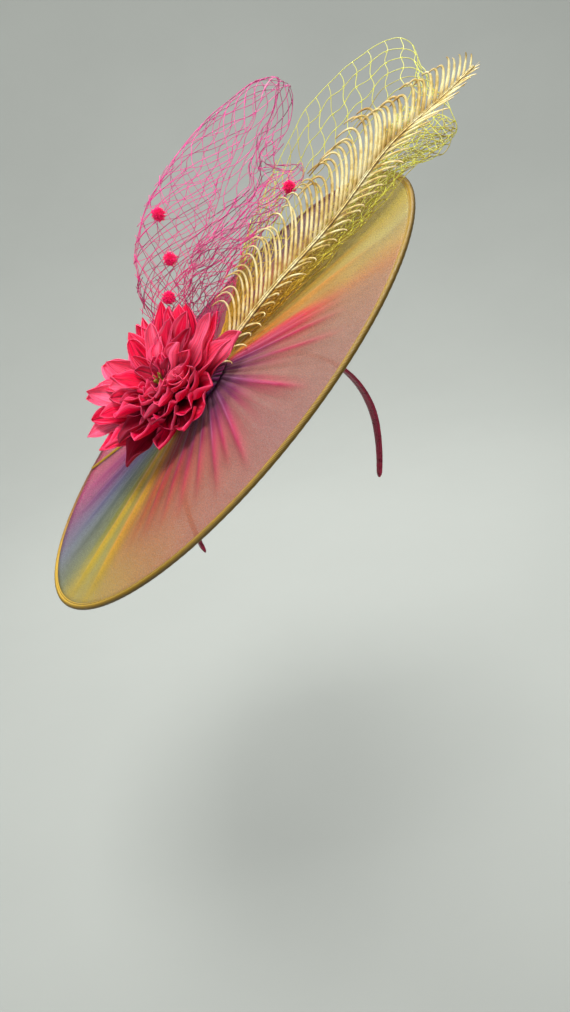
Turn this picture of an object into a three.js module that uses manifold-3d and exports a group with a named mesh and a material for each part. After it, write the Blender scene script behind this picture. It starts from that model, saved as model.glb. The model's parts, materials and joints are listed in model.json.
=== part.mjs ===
// Fascinator: a tilted organza saucer on a headband, with a silk flower, two loops of net and a stripped feather.
// Lengths are millimetres and +Z is up. The wearer faces -Y and has the saucer on the right, at -X.
// The origin is the inner face of the headband at its top, where it rests on the crown of the head.

import * as THREE from "three";
import { mergeVertices } from "three/addons/utils/BufferGeometryUtils.js";
import Module from "manifold-3d";

const wasm = await Module();
wasm.setup();

// Clearance between neighbouring pieces, and the wall of the organza
const GAP = 0.3;
const WALL = 1;

// Headband: an open arch that curls in below the ears
const BAND_HALF_SPAN = 82;
const BAND_HEIGHT = 122;
const BAND_WIDTH = 10;
const BAND_THICKNESS = 3;
const BAND_TIP_WIDTH = 6;
const BAND_END_ANGLE = 110;
const BAND_SEGMENTS = 31;

// Saucer: its size, and how it tips to the side and leans back on the band
const DISC_RADIUS = 175;
const DISC_TILT = 35.3;
const DISC_LEAN = 11.2;
const DISC_SLIDE_LEFT = 12.3;
const DISC_SLIDE_FRONT = 12.1;
const GATHER_HEIGHT = 7;
const PLEAT_COUNT = 22;
const PLEAT_DEPTH = 1.1;
const RIM_RADIUS = 1.6;
const SEAM_ANGLE = 125;
const SEAM_WIDTH = 2.6;
const SEAM_THICKNESS = 1.2;

// Buttons above and below the gather, which hold the trimmings and the band
const BASE_RADIUS = 22;
const BASE_THICKNESS = 2;
const TRIM_BASE_RADIUS = 35;
const TRIM_BASE_THICKNESS = 2;
const TRIM_BASE_AT = { u: -14, v: -1 };

// Flower: a cupped dahlia on a short calyx
const FLOWER_RADIUS = 63;
const FLOWER_HEIGHT = 46;
const FLOWER_TIP = 26;
const FLOWER_AT = { u: -26, v: -19 };
const CALYX_HEIGHT = 3.5;
const HUB_THICKNESS = 2.5;
const HUB_RADIUS = 13;
const HUB_STEP = 2.1;
const PETAL_THICKNESS = 1.6;
const PETAL_CUP = 0.3;

// Net loops
const NET_THICKNESS = 1.5;
const NET_STRAND = 2.6;
const NET_CELLS_ALONG = 17;
const NET_CELLS_ACROSS = 3;
const PINK_REACH = 200;
const PINK_DEPTH = 70;
const PINK_HEIGHT = 95;
const PINK_BULGE = 5;
const YELLOW_REACH = 280;
const YELLOW_DEPTH = 80;
const YELLOW_HEIGHT = 40;
const POMPOM_RADIUS = 4.4;

// Feather: a quill that leans to the front, with curled barbs on both sides
const FEATHER_LENGTH = 240;
const FEATHER_LIFT = 6;
const FEATHER_TURN = 16;
const FEATHER_AT = { u: 4, v: -16 };
const QUILL_RADIUS = 1.4;
const QUILL_TIP_RADIUS = 0.6;
const BARB_COUNT = 23;
const BARB_RADIUS = 0.75;
const BARB_TIP_RADIUS = 0.4;
const BARB_LENGTH = 58;
const BARB_START = 0.13;

// Seats along the saucer's normal, worked out from the walls and clearances above
const SEGMENTS = 4 * PLEAT_COUNT;
const BRIM_EDGE = DISC_RADIUS - RIM_RADIUS - GAP;
const TOP_SEAT = (GAP + WALL) / 2;

const radians = THREE.MathUtils.degToRad;

const colours = {
  satin: 0x4d0a20,
  organza: 0xd98a78,
  organzaUnder: 0xd8a066,
  gold: 0x8a6a1c,
  crimson: 0xc8143c,
  crimsonDark: 0x8e0c2a,
  magenta: 0xc83c82,
  lime: 0xd2dc64,
  featherGold: 0xc8a050,
};

function finish(colour, roughness, metalness) {
  return new THREE.MeshStandardMaterial({ color: colour, roughness, metalness });
}

function named(name, geometry, material) {
  const mesh = new THREE.Mesh(geometry, material);
  mesh.name = name;
  return mesh;
}

// A closed body from points and triangles, turned inside out where its volume comes out negative
function closedBody(points, triangles) {
  let volume = 0;
  for (const [a, b, c] of triangles) {
    volume += points[a].dot(new THREE.Vector3().crossVectors(points[b], points[c]));
  }
  const outward = volume >= 0 ? triangles : triangles.map(([a, b, c]) => [a, c, b]);
  const geometry = new THREE.BufferGeometry();
  geometry.setAttribute("position", new THREE.Float32BufferAttribute(points.flatMap((p) => p.toArray()), 3));
  geometry.setIndex(outward.flat());
  return geometry;
}

// A solid through rings of equally many points, with a fan over each end
function loft(rings) {
  const count = rings[0].length;
  const points = rings.flat();
  const triangles = [];
  for (let i = 0; i + 1 < rings.length; i += 1) {
    for (let j = 0; j < count; j += 1) {
      const a = i * count + j;
      const b = i * count + ((j + 1) % count);
      triangles.push([a, b, b + count], [a, b + count, a + count]);
    }
  }
  const last = (rings.length - 1) * count;
  for (let j = 1; j + 1 < count; j += 1) {
    triangles.push([0, j + 1, j], [last, last + j, last + j + 1]);
  }
  return closedBody(points, triangles);
}

// A solid of the same kind whose rings close on themselves, as a ring of wire does
function loftLoop(rings) {
  const count = rings[0].length;
  const points = rings.flat();
  const triangles = [];
  rings.forEach((ring, i) => {
    const next = ((i + 1) % rings.length) * count;
    ring.forEach((point, j) => {
      const k = (j + 1) % count;
      triangles.push([i * count + j, i * count + k, next + k], [i * count + j, next + k, next + j]);
    });
  });
  return closedBody(points, triangles);
}

function toSolid(geometry) {
  const bare = geometry.clone();
  bare.deleteAttribute("normal");
  bare.deleteAttribute("uv");
  const merged = mergeVertices(bare, 1e-5);
  return new wasm.Manifold(new wasm.Mesh({
    numProp: 3,
    vertProperties: new Float32Array(merged.attributes.position.array),
    triVerts: new Uint32Array(merged.index.array),
  }));
}

function toGeometry(solid) {
  const mesh = solid.getMesh();
  const geometry = new THREE.BufferGeometry();
  geometry.setAttribute("position", new THREE.Float32BufferAttribute(mesh.vertProperties, 3));
  geometry.setIndex(Array.from(mesh.triVerts));
  return geometry;
}

function fuse(geometries) {
  const [first, ...rest] = geometries.map(toSolid);
  return toGeometry(rest.reduce((whole, solid) => whole.add(solid), first));
}

// Linear reading of a table of rows [share, value]
function readTable(rows, share) {
  const next = rows.findIndex(([at]) => at >= share);
  if (next <= 0) {
    return rows[next === 0 ? 0 : rows.length - 1][1];
  }
  const [a, low] = rows[next - 1];
  const [b, high] = rows[next];
  return low + ((high - low) * (share - a)) / (b - a);
}

// Headband

// Centre line of the arch at an angle from its top: a half circle, then legs that curl in
function archPoint(angle) {
  const cosine = Math.cos(angle);
  const below = (BAND_HEIGHT - BAND_HALF_SPAN) / Math.abs(Math.cos(radians(BAND_END_ANGLE)));
  const z = cosine >= 0 ? BAND_HALF_SPAN * (cosine - 1) : below * cosine - BAND_HALF_SPAN;
  return new THREE.Vector3(BAND_HALF_SPAN * Math.sin(angle), 0, z);
}

// Lift that brings the inner face of the middle segment to the origin
function archLift() {
  const half = radians(BAND_END_ANGLE) / BAND_SEGMENTS;
  return (BAND_THICKNESS / 2 - archPoint(0).z) * Math.cos(half) + BAND_HALF_SPAN * (1 - Math.cos(half));
}

// Width of the band along its length: full, then rounded off over the last part of each leg
function bandWidth(share) {
  const fromTip = 1 - Math.abs(share);
  const full = BAND_WIDTH / BAND_TIP_WIDTH;
  const taper = [[0, 0.45], [0.02, 0.8], [0.05, 1], [0.3, full], [1, full]];
  return BAND_TIP_WIDTH * readTable(taper, fromTip);
}

function headband() {
  const bevel = 0.3;
  const mirrored = (corners) => [...corners, ...corners.map(([across, out]) => [-across, -out])];
  const section = mirrored([[1, -bevel], [1, bevel], [bevel, 1], [-bevel, 1]]);
  const flat = mirrored([[1, -0.4], [1, 0.4], [0.8, 1], [-0.8, 1]]);
  const stations = [-1, -0.985];
  for (let i = 1; i < BAND_SEGMENTS; i += 1) {
    stations.push((2 * i) / BAND_SEGMENTS - 1);
  }
  stations.push(0.985, 1);
  const rings = stations.map((share) => {
    const angle = share * radians(BAND_END_ANGLE);
    const middle = archPoint(angle);
    const ahead = archPoint(angle + 0.01).sub(archPoint(angle - 0.01)).normalize();
    const outward = new THREE.Vector3(-ahead.z, 0, ahead.x);
    const width = bandWidth(share) / 2;
    const outline = Math.abs(share) > 0.99 ? section : flat;
    const thickness = (BAND_THICKNESS / 2) * (Math.abs(share) > 0.99 ? 0.6 : 1);
    return outline.map(([across, out]) => middle.clone()
      .addScaledVector(outward, out * thickness)
      .add(new THREE.Vector3(0, across * width, archLift())));
  });
  return named("headband", loft(rings), finish(colours.satin, 0.45, 0));
}

// Saucer

// Height of the middle of the upper organza above the plane of the rim: a tent with radial pleats
function brimHeight(radius, angle) {
  const share = Math.min(radius / BRIM_EDGE, 1);
  const tent = GATHER_HEIGHT * (1 - share) ** 1.4;
  const depth = PLEAT_DEPTH * Math.sin(Math.PI * share ** 0.6) * (0.8 + 0.2 * Math.cos(3 * angle + 1));
  return TOP_SEAT + tent + depth * Math.cos(PLEAT_COUNT * angle);
}

const BRIM_RINGS = [0.08, 0.24, 0.47, 0.74, 1].map((share) => share * BRIM_EDGE);

function spokeAngle(spoke) {
  return (2 * Math.PI * spoke) / SEGMENTS;
}

function onDisc(radius, angle, height) {
  return new THREE.Vector3(radius * Math.cos(angle), radius * Math.sin(angle), height);
}

// Highest point of the upper organza, which the trimmings' button sits above
function brimPeak() {
  const heights = [brimHeight(0, 0)];
  for (const radius of BRIM_RINGS) {
    for (let spoke = 0; spoke < SEGMENTS; spoke += 1) {
      heights.push(brimHeight(radius, spokeAngle(spoke)));
    }
  }
  return Math.max(...heights) + WALL / 2;
}

function brimTop() {
  const points = [];
  const triangles = [];
  for (const side of [WALL / 2, -WALL / 2]) {
    const centre = points.length;
    points.push(new THREE.Vector3(0, 0, brimHeight(0, 0) + side));
    for (const radius of BRIM_RINGS) {
      for (let spoke = 0; spoke < SEGMENTS; spoke += 1) {
        const angle = spokeAngle(spoke);
        points.push(onDisc(radius, angle, brimHeight(radius, angle) + side));
      }
    }
    for (let spoke = 0; spoke < SEGMENTS; spoke += 1) {
      const next = (spoke + 1) % SEGMENTS;
      const faces = [[centre, centre + 1 + spoke, centre + 1 + next]];
      for (let ring = 0; ring + 1 < BRIM_RINGS.length; ring += 1) {
        const a = centre + 1 + ring * SEGMENTS + spoke;
        const b = centre + 1 + ring * SEGMENTS + next;
        faces.push([a, a + SEGMENTS, b + SEGMENTS], [a, b + SEGMENTS, b]);
      }
      triangles.push(...(side > 0 ? faces : faces.map(([a, b, c]) => [a, c, b])));
    }
  }
  const half = points.length / 2;
  const edge = 1 + (BRIM_RINGS.length - 1) * SEGMENTS;
  for (let spoke = 0; spoke < SEGMENTS; spoke += 1) {
    const a = edge + spoke;
    const b = edge + ((spoke + 1) % SEGMENTS);
    triangles.push([a, a + half, b + half], [a, b + half, b]);
  }
  return named("brim_top", closedBody(points, triangles), finish(colours.organza, 0.6, 0));
}

function brimUnder() {
  const geometry = new THREE.CylinderGeometry(BRIM_EDGE, BRIM_EDGE, WALL, SEGMENTS);
  const mesh = named("brim_under", geometry, finish(colours.organzaUnder, 0.6, 0));
  mesh.rotation.set(Math.PI / 2, Math.PI / 2, 0);
  mesh.position.z = -TOP_SEAT;
  return mesh;
}

function rim() {
  const sides = 5;
  const rings = [];
  for (let spoke = 0; spoke < SEGMENTS; spoke += 1) {
    const ring = [];
    for (let side = 0; side < sides; side += 1) {
      const turn = (2 * Math.PI * (side + 0.5)) / sides;
      const radius = DISC_RADIUS + RIM_RADIUS * Math.cos(turn);
      ring.push(onDisc(radius, spokeAngle(spoke), RIM_RADIUS * Math.sin(turn)));
    }
    rings.push(ring);
  }
  return named("rim", loftLoop(rings), finish(colours.gold, 0.4, 0.3));
}

// Bound edge that runs over the pleats from under the flower to the rim
function seamEdge() {
  const angle = radians(SEAM_ANGLE);
  const across = new THREE.Vector3(-Math.sin(angle), Math.cos(angle), 0);
  const start = 0.26;
  const steps = 14;
  const rings = [];
  for (let i = 0; i <= steps; i += 1) {
    const radius = BRIM_EDGE * (start + (1 - start) * (i / steps));
    const reach = SEAM_WIDTH / 2 / radius;
    const heights = [-1, 0, 1].map((k) => brimHeight(radius, angle + k * reach));
    const low = Math.max(...heights) + WALL / 2 + GAP + 0.15;
    const corners = [[-1, 0], [1, 0], [0.6, 1], [-0.6, 1]];
    rings.push(corners.map(([side, up]) => onDisc(radius, angle, low + up * SEAM_THICKNESS)
      .addScaledVector(across, (side * SEAM_WIDTH) / 2)));
  }
  return named("seam_edge", loft(rings), finish(colours.gold, 0.4, 0.3));
}

function button(name, radius, thickness, place, bottom, colour) {
  const mesh = named(name, new THREE.CylinderGeometry(radius, radius, thickness, 24), finish(colour, 0.7, 0));
  mesh.rotation.x = Math.PI / 2;
  mesh.position.set(place.u, place.v, bottom + thickness / 2);
  return mesh;
}

// Flower

// Rows of a whorl of petals, outer to inner. Reach and bow are shares of the flower's radius, tip and
// rise shares of its height, and width is a share of the petal's reach.
const whorls = [
  { petals: 10, reach: 1.0, tip: 0.55, bow: 0.62, rise: 0.14, width: 0.24, turn: 0.0 },
  { petals: 9, reach: 0.86, tip: 0.74, bow: 0.52, rise: 0.27, width: 0.25, turn: 0.5 },
  { petals: 7, reach: 0.69, tip: 0.88, bow: 0.42, rise: 0.4, width: 0.27, turn: 0.2 },
  { petals: 5, reach: 0.48, tip: 0.98, bow: 0.31, rise: 0.52, width: 0.32, turn: 0.7 },
  { petals: 4, reach: 0.27, tip: 1.0, bow: 0.2, rise: 0.62, width: 0.4, turn: 0.1 },
];

function hubRadius(layer) {
  return HUB_RADIUS - layer * HUB_STEP;
}

function hubBottom(layer) {
  return layer === 0 ? 0 : CALYX_HEIGHT + layer * (HUB_THICKNESS + GAP);
}

function hubTop(layer) {
  return CALYX_HEIGHT + layer * (HUB_THICKNESS + GAP) + HUB_THICKNESS;
}

// Midrib of a petal: a curve with one control point, from inside the hub to the tip
function midrib(layer, length) {
  const row = whorls[layer];
  const root = new THREE.Vector2(hubRadius(layer) - 1, hubTop(layer) - HUB_THICKNESS / 2);
  const control = new THREE.Vector2(row.bow * FLOWER_RADIUS, Math.max(row.rise * FLOWER_HEIGHT, root.y + 1));
  const tip = new THREE.Vector2(row.reach * FLOWER_RADIUS * length, row.tip * FLOWER_HEIGHT);
  return new THREE.QuadraticBezierCurve(root, control, tip);
}

// A pointed, cupped petal as a solid with a lens section
function petal(layer, turn, length) {
  const row = whorls[layer];
  const rib = midrib(layer, length);
  const widest = row.width * row.reach * FLOWER_RADIUS;
  const shares = [0, 0.3, 0.62, 1];
  const rings = shares.map((share) => {
    const at = rib.getPoint(share);
    const ahead = rib.getTangent(Math.min(share, 0.98));
    const half = widest * Math.max(Math.sin(Math.PI * (0.05 + 0.95 * share) ** 0.8), 0.04);
    const cup = PETAL_CUP * (half * half) / widest;
    const thick = (PETAL_THICKNESS / 2) * (share > 0.95 ? 0.5 : 1);
    const corners = [[-half, cup], [0, thick], [half, cup], [0, -thick]];
    return corners.map(([side, up]) => {
      const radius = at.x - ahead.y * up;
      const height = at.y + ahead.x * up;
      return new THREE.Vector3(
        radius * Math.cos(turn) - side * Math.sin(turn),
        radius * Math.sin(turn) + side * Math.cos(turn),
        height,
      );
    });
  });
  return loft(rings);
}

function flowerWhorl(layer) {
  const row = whorls[layer];
  const height = hubTop(layer) - hubBottom(layer);
  const hub = new THREE.CylinderGeometry(hubRadius(layer), hubRadius(layer), height, 12);
  hub.rotateX(Math.PI / 2);
  hub.translate(0, 0, hubBottom(layer) + height / 2);
  const parts = [hub];
  for (let i = 0; i < row.petals; i += 1) {
    const turn = (2 * Math.PI * (i + row.turn)) / row.petals;
    parts.push(petal(layer, turn, 1 - 0.06 * (1 + Math.sin(5 * i + layer))));
  }
  const shade = layer % 2 === 0 ? colours.crimson : colours.crimsonDark;
  return named(`flower_whorl_${whorls.length - layer}`, fuse(parts), finish(shade, 0.55, 0));
}

function flowerCore() {
  const foot = hubTop(whorls.length - 1) + GAP;
  const top = 0.9 * FLOWER_HEIGHT;
  const widest = hubRadius(whorls.length - 1) - 1.9;
  const profile = [[0, 0], [0.7, 0], [1, 0.3], [1, 0.7], [0.6, 0.92], [0, 1]];
  const points = profile.map(([out, up]) => new THREE.Vector2(out * widest, foot + up * (top - foot)));
  const geometry = new THREE.LatheGeometry(points, 10);
  geometry.rotateX(Math.PI / 2);
  return named("flower_core", geometry, finish(colours.crimson, 0.55, 0));
}

function flower(seat) {
  const group = new THREE.Group();
  whorls.forEach((row, layer) => group.add(flowerWhorl(layer)));
  group.add(flowerCore());
  const lift = hubRadius(0) * Math.sin(radians(FLOWER_TIP));
  group.position.set(FLOWER_AT.u, FLOWER_AT.v, seat + GAP + lift);
  group.rotation.x = radians(FLOWER_TIP);
  return group;
}

// Net loops

// Edges of each loop from its front foot, over its top and back. Columns are shares of the loop's
// reach (u), depth (v) and height above its seat (h), for the near edge and for the far edge.
const pinkRows = [
  { near: [0.025, 0.13, 0], far: [0.0, 0.25, 0] },
  { near: [0.12, 0.25, 0.24], far: [0.04, 0.5, 0.42] },
  { near: [0.22, 0.24, 0.41], far: [0.15, 0.6, 0.72] },
  { near: [0.4, 0.24, 0.53], far: [0.29, 0.64, 0.89] },
  { near: [0.6, 0.26, 0.68], far: [0.57, 0.7, 0.97] },
  { near: [0.77, 0.29, 0.74], far: [0.8, 0.77, 0.92] },
  { near: [0.89, 0.34, 0.75], far: [0.95, 0.89, 0.82] },
  { near: [0.97, 0.46, 0.61], far: [1.04, 1.0, 0.7] },
  { near: [0.87, 0.55, 0.48], far: [0.93, 1.06, 0.56] },
  { near: [0.75, 0.58, 0.42], far: [0.75, 1.1, 0.47] },
  { near: [0.8, 0.48, 0.24], far: [0.68, 1.05, 0.38] },
  { near: [0.66, 0.48, 0.17], far: [0.46, 0.97, 0.4] },
  { near: [0.34, 0.44, 0.14], far: [0.2, 0.8, 0.33] },
  { near: [0.055, 0.25, 0], far: [0.02, 0.36, 0] },
];

const yellowRows = [
  { near: [0.046, -0.11, 0], far: [0.046, -0.05, 0] },
  { near: [0.086, -0.13, 0.01], far: [0.082, 0.02, 0.01] },
  { near: [0.16, -0.42, -0.07], far: [0.15, 0.05, -0.06] },
  { near: [0.32, -0.78, -0.1], far: [0.3, -0.02, -0.09] },
  { near: [0.46, -1.0, -0.13], far: [0.45, -0.1, -0.11] },
  { near: [0.57, -1.05, -0.16], far: [0.57, -0.1, -0.1] },
  { near: [0.66, -0.98, -0.42], far: [0.68, -0.08, -0.12] },
  { near: [0.75, -0.8, -0.52], far: [0.79, 0.05, -0.1] },
  { near: [0.815, -0.56, -0.24], far: [0.89, 0.2, -0.02] },
  { near: [0.835, -0.31, 0.02], far: [0.965, 0.38, 0.22] },
  { near: [0.81, -0.1, 0.26], far: [1.01, 0.55, 0.48] },
  { near: [0.73, 0.15, 0.17], far: [0.92, 0.75, 0.77] },
  { near: [0.55, 0.48, 0.02], far: [0.75, 1.0, 0.88] },
  { near: [0.42, 0.5, -0.05], far: [0.61, 1.05, 0.71] },
  { near: [0.28, 0.41, -0.05], far: [0.39, 0.9, 0.39] },
  { near: [0.12, 0.1, 0.0], far: [0.157, 0.32, 0.07] },
  { near: [0.05, -0.01, 0], far: [0.05, 0.06, 0] },
];

const pinkNet = {
  rows: pinkRows, reach: PINK_REACH, depth: PINK_DEPTH, height: PINK_HEIGHT, bulge: PINK_BULGE,
};
const yellowNet = {
  rows: yellowRows, reach: YELLOW_REACH, depth: YELLOW_DEPTH, height: YELLOW_HEIGHT, bulge: 0,
};

// The middle surface of a loop: smooth edges through the rows, joined across by a shallow arch
function netSheet(net, seat) {
  const edge = (side) => new THREE.CatmullRomCurve3(net.rows.map((row) => new THREE.Vector3(
    row[side][0] * net.reach,
    row[side][1] * net.depth,
    seat + row[side][2] * net.height,
  )));
  const near = edge("near");
  const far = edge("far");
  return (along, across) => {
    const point = near.getPoint(along).lerp(far.getPoint(along), across);
    const rise = net.bulge * Math.sin(Math.PI * across) * Math.sin(Math.PI * along);
    return point.add(new THREE.Vector3(0, 0, rise));
  };
}

function sheetNormal(sheet, along, across) {
  const step = 0.004;
  const a0 = Math.max(along - step, 0);
  const a1 = Math.min(along + step, 1);
  const b0 = Math.max(across - step, 0);
  const b1 = Math.min(across + step, 1);
  const alongWay = sheet(a1, across).sub(sheet(a0, across));
  const acrossWay = sheet(along, b1).sub(sheet(along, b0));
  return alongWay.cross(acrossWay).normalize();
}

// A wall on a sheet with one hole cut through each cell, so that strands are left between them
function netWall(sheet) {
  const points = [];
  const triangles = [];
  const add = (along, across, side) => {
    const offset = sheetNormal(sheet, along, across).multiplyScalar((side * NET_THICKNESS) / 2);
    points.push(sheet(along, across).add(offset));
    return points.length - 1;
  };
  const node = [1, -1].map((side) => {
    const grid = [];
    for (let i = 0; i <= NET_CELLS_ALONG; i += 1) {
      const row = [];
      for (let j = 0; j <= NET_CELLS_ACROSS; j += 1) {
        row.push(add(i / NET_CELLS_ALONG, j / NET_CELLS_ACROSS, side));
      }
      grid.push(row);
    }
    return grid;
  });
  const quad = (a, b, c, d) => triangles.push([a, b, c], [a, c, d]);
  for (let i = 0; i < NET_CELLS_ALONG; i += 1) {
    for (let j = 0; j < NET_CELLS_ACROSS; j += 1) {
      const a = i / NET_CELLS_ALONG;
      const b = j / NET_CELLS_ACROSS;
      const da = 1 / NET_CELLS_ALONG;
      const db = 1 / NET_CELLS_ACROSS;
      const length = sheet(a, b + db / 2).distanceTo(sheet(a + da, b + db / 2));
      const width = sheet(a + da / 2, b).distanceTo(sheet(a + da / 2, b + db));
      const cutA = da * Math.min(NET_STRAND / 2 / length, 0.3);
      const cutB = db * Math.min(NET_STRAND / 2 / width, 0.3);
      const [a0, a1, b0, b1] = [a + cutA, a + da - cutA, b + cutB, b + db - cutB];
      const corners = [[a0, b0], [a1, b0], [a1, b1], [a0, b1]];
      const hole = [1, -1].map((side) => corners.map(([p, q]) => add(p, q, side)));
      [0, 1].forEach((layer) => {
        const [low, high] = [node[layer][i], node[layer][i + 1]];
        const outer = [low[j], high[j], high[j + 1], low[j + 1]];
        for (let k = 0; k < 4; k += 1) {
          const n = (k + 1) % 4;
          const ring = [outer[k], outer[n], hole[layer][n], hole[layer][k]];
          quad(...(layer === 0 ? ring : ring.reverse()));
        }
      });
      for (let k = 0; k < 4; k += 1) {
        const n = (k + 1) % 4;
        quad(hole[0][k], hole[0][n], hole[1][n], hole[1][k]);
      }
    }
  }
  const border = [];
  for (let i = 0; i < NET_CELLS_ALONG; i += 1) {
    border.push([[i, 0], [i + 1, 0]], [[i + 1, NET_CELLS_ACROSS], [i, NET_CELLS_ACROSS]]);
  }
  for (let j = 0; j < NET_CELLS_ACROSS; j += 1) {
    border.push([[0, j + 1], [0, j]], [[NET_CELLS_ALONG, j], [NET_CELLS_ALONG, j + 1]]);
  }
  for (const [[i, j], [k, l]] of border) {
    quad(node[0][k][l], node[0][i][j], node[1][i][j], node[1][k][l]);
  }
  return closedBody(points, triangles);
}

// Places of the chenille dots on the pink loop, as shares along and across it, and the side they sit on.
// Each dot moves to the nearest crossing of the net.
const pompomRows = [
  { along: 0.25, across: 0.67, side: 1 },
  { along: 0.185, across: 0.33, side: 1 },
  { along: 0.11, across: 0.33, side: 1 },
  { along: 0.06, across: 1, side: 1 },
  { along: 0.82, across: 0, side: -1 },
];

// A tufted ball: every other vertex of a coarse sphere is pushed in
function pompom(name, sheet, { along, across, side }) {
  const sphere = new THREE.SphereGeometry(POMPOM_RADIUS, 8, 5);
  sphere.deleteAttribute("normal");
  sphere.deleteAttribute("uv");
  const ball = mergeVertices(sphere);
  const position = ball.attributes.position;
  for (let i = 0; i < position.count; i += 1) {
    const tuft = i % 2 === 0 ? 1 : 0.92;
    position.setXYZ(i, position.getX(i) * tuft, position.getY(i) * tuft, position.getZ(i) * tuft);
  }
  const mesh = named(name, ball, finish(colours.crimson, 0.9, 0));
  const away = NET_THICKNESS / 2 + GAP + POMPOM_RADIUS;
  const a = Math.round(along * NET_CELLS_ALONG) / NET_CELLS_ALONG;
  const b = Math.round(across * NET_CELLS_ACROSS) / NET_CELLS_ACROSS;
  mesh.position.copy(sheet(a, b)).addScaledVector(sheetNormal(sheet, a, b), side * away);
  return mesh;
}

// Feather

// Rise of the quill along its length, as shares of the feather's lift
const quillRise = [[0, 0], [0.24, 0.6], [0.48, 0.4], [0.73, 1], [0.87, 0.3], [1, -0.28]];

// Length of the barbs along the quill, as shares of the longest, above and in front of the quill
const upperBarbs = [[0, 0.75], [0.3, 1.0], [0.6, 0.98], [0.8, 0.6], [1, 0.2]];
const lowerBarbs = [[0, 0.55], [0.3, 0.72], [0.6, 0.75], [0.8, 0.5], [1, 0.2]];

function feather(seat) {
  const turn = radians(FEATHER_TURN);
  const forward = new THREE.Vector3(Math.cos(turn), -Math.sin(turn), 0);
  const foot = new THREE.Vector3(FEATHER_AT.u, FEATHER_AT.v, seat + GAP + QUILL_RADIUS);
  const quill = new THREE.CatmullRomCurve3(quillRise.map(([share, rise]) => foot.clone()
    .addScaledVector(forward, share * FEATHER_LENGTH)
    .add(new THREE.Vector3(0, 0, rise * FEATHER_LIFT))));
  const onQuill = (share) => {
    const next = quillRise.findIndex(([at]) => at >= share);
    const [low] = quillRise[Math.max(next - 1, 0)];
    const [high] = quillRise[next];
    const part = high > low ? (share - low) / (high - low) : 0;
    return quill.getPoint((Math.max(next - 1, 0) + part) / (quillRise.length - 1));
  };
  const side = new THREE.Vector3(-forward.y, forward.x, 0);
  const up = new THREE.Vector3(0, 0, 1);
  const ring = (centre, radius, first, second, count) => {
    const points = [];
    for (let k = 0; k < count; k += 1) {
      const at = (2 * Math.PI * k) / count;
      points.push(centre.clone()
        .addScaledVector(first, radius * Math.cos(at))
        .addScaledVector(second, radius * Math.sin(at)));
    }
    return points;
  };
  const quillRings = [];
  const quillSteps = 11;
  for (let i = 0; i <= quillSteps; i += 1) {
    const radius = QUILL_RADIUS + (QUILL_TIP_RADIUS - QUILL_RADIUS) * (i / quillSteps);
    quillRings.push(ring(onQuill(i / quillSteps), radius, side, up, 6));
  }
  const parts = [loft(quillRings)];
  const over = new THREE.Vector3(0, 0.2, 0.98);
  const ahead = new THREE.Vector3(0, -0.98, -0.2);
  const sides = [
    { way: over, table: upperBarbs, bend: [0.37, 0.22, 0.66, 0.5, 0.35, 0.56], steps: 3 },
    { way: ahead, table: lowerBarbs, bend: [0.12, 0.1, 0.3, 0.42, 0.25, 0.6], steps: 2 },
  ];
  for (const { way, table, bend, steps } of sides) {
    for (let i = 0; i < BARB_COUNT; i += 1) {
      const share = BARB_START + (0.985 - BARB_START) * (i / (BARB_COUNT - 1));
      const length = BARB_LENGTH * readTable(table, share);
      const root = onQuill(share);
      const at = (along, out) => root.clone()
        .addScaledVector(forward, along * length)
        .addScaledVector(way, out * length);
      const bends = [at(bend[0], bend[1]), at(bend[2], bend[3]), at(bend[4], bend[5])];
      const curve = new THREE.CubicBezierCurve3(root, ...bends);
      const normal = new THREE.Vector3().crossVectors(forward, way).normalize();
      const rings = [];
      for (let k = 0; k <= steps; k += 1) {
        const step = k / steps;
        const tangent = curve.getTangent(step);
        const across = new THREE.Vector3().crossVectors(normal, tangent).normalize();
        const radius = BARB_RADIUS + (BARB_TIP_RADIUS - BARB_RADIUS) * step;
        rings.push(ring(curve.getPoint(step), radius, across, normal, 3));
      }
      parts.push(loft(rings));
    }
  }
  return named("feather", fuse(parts), finish(colours.featherGold, 0.35, 0.6));
}

// Assembly

const fascinator = new THREE.Group();
fascinator.add(headband());

const disc = new THREE.Group();
const lean = radians(DISC_LEAN);
const bandTop = (BAND_THICKNESS / 2) * Math.cos(lean) + (BAND_WIDTH / 2) * Math.sin(lean);
disc.rotation.set(-lean, -radians(DISC_TILT), 0, "YXZ");
const stand = bandTop + GAP + BASE_THICKNESS + GAP + WALL + GAP / 2;
const offset = new THREE.Vector3(DISC_SLIDE_LEFT, -DISC_SLIDE_FRONT, stand).applyEuler(disc.rotation);
disc.position.copy(archPoint(-radians(DISC_TILT))).add(new THREE.Vector3(0, 0, archLift())).add(offset);
fascinator.add(disc);

const trimBottom = brimPeak() + GAP;
const trimTop = trimBottom + TRIM_BASE_THICKNESS;
const basePlace = { u: -DISC_SLIDE_LEFT, v: DISC_SLIDE_FRONT };
const baseBottom = -GAP / 2 - WALL - GAP - BASE_THICKNESS;

disc.add(rim(), brimTop(), brimUnder(), seamEdge());
disc.add(button("centre_base", BASE_RADIUS, BASE_THICKNESS, basePlace, baseBottom, colours.satin));
disc.add(button("trim_base", TRIM_BASE_RADIUS, TRIM_BASE_THICKNESS, TRIM_BASE_AT, trimBottom, colours.crimsonDark));
disc.add(flower(trimTop));

const pinkSheet = netSheet(pinkNet, trimTop + GAP + NET_THICKNESS / 2);
const yellowSheet = netSheet(yellowNet, trimTop + GAP + NET_THICKNESS / 2);
disc.add(named("veil_pink", netWall(pinkSheet), finish(colours.magenta, 0.7, 0)));
disc.add(named("veil_yellow", netWall(yellowSheet), finish(colours.lime, 0.7, 0)));
pompomRows.forEach((row, i) => disc.add(pompom(`pompom_${i + 1}`, pinkSheet, row)));
disc.add(feather(trimTop));

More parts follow.
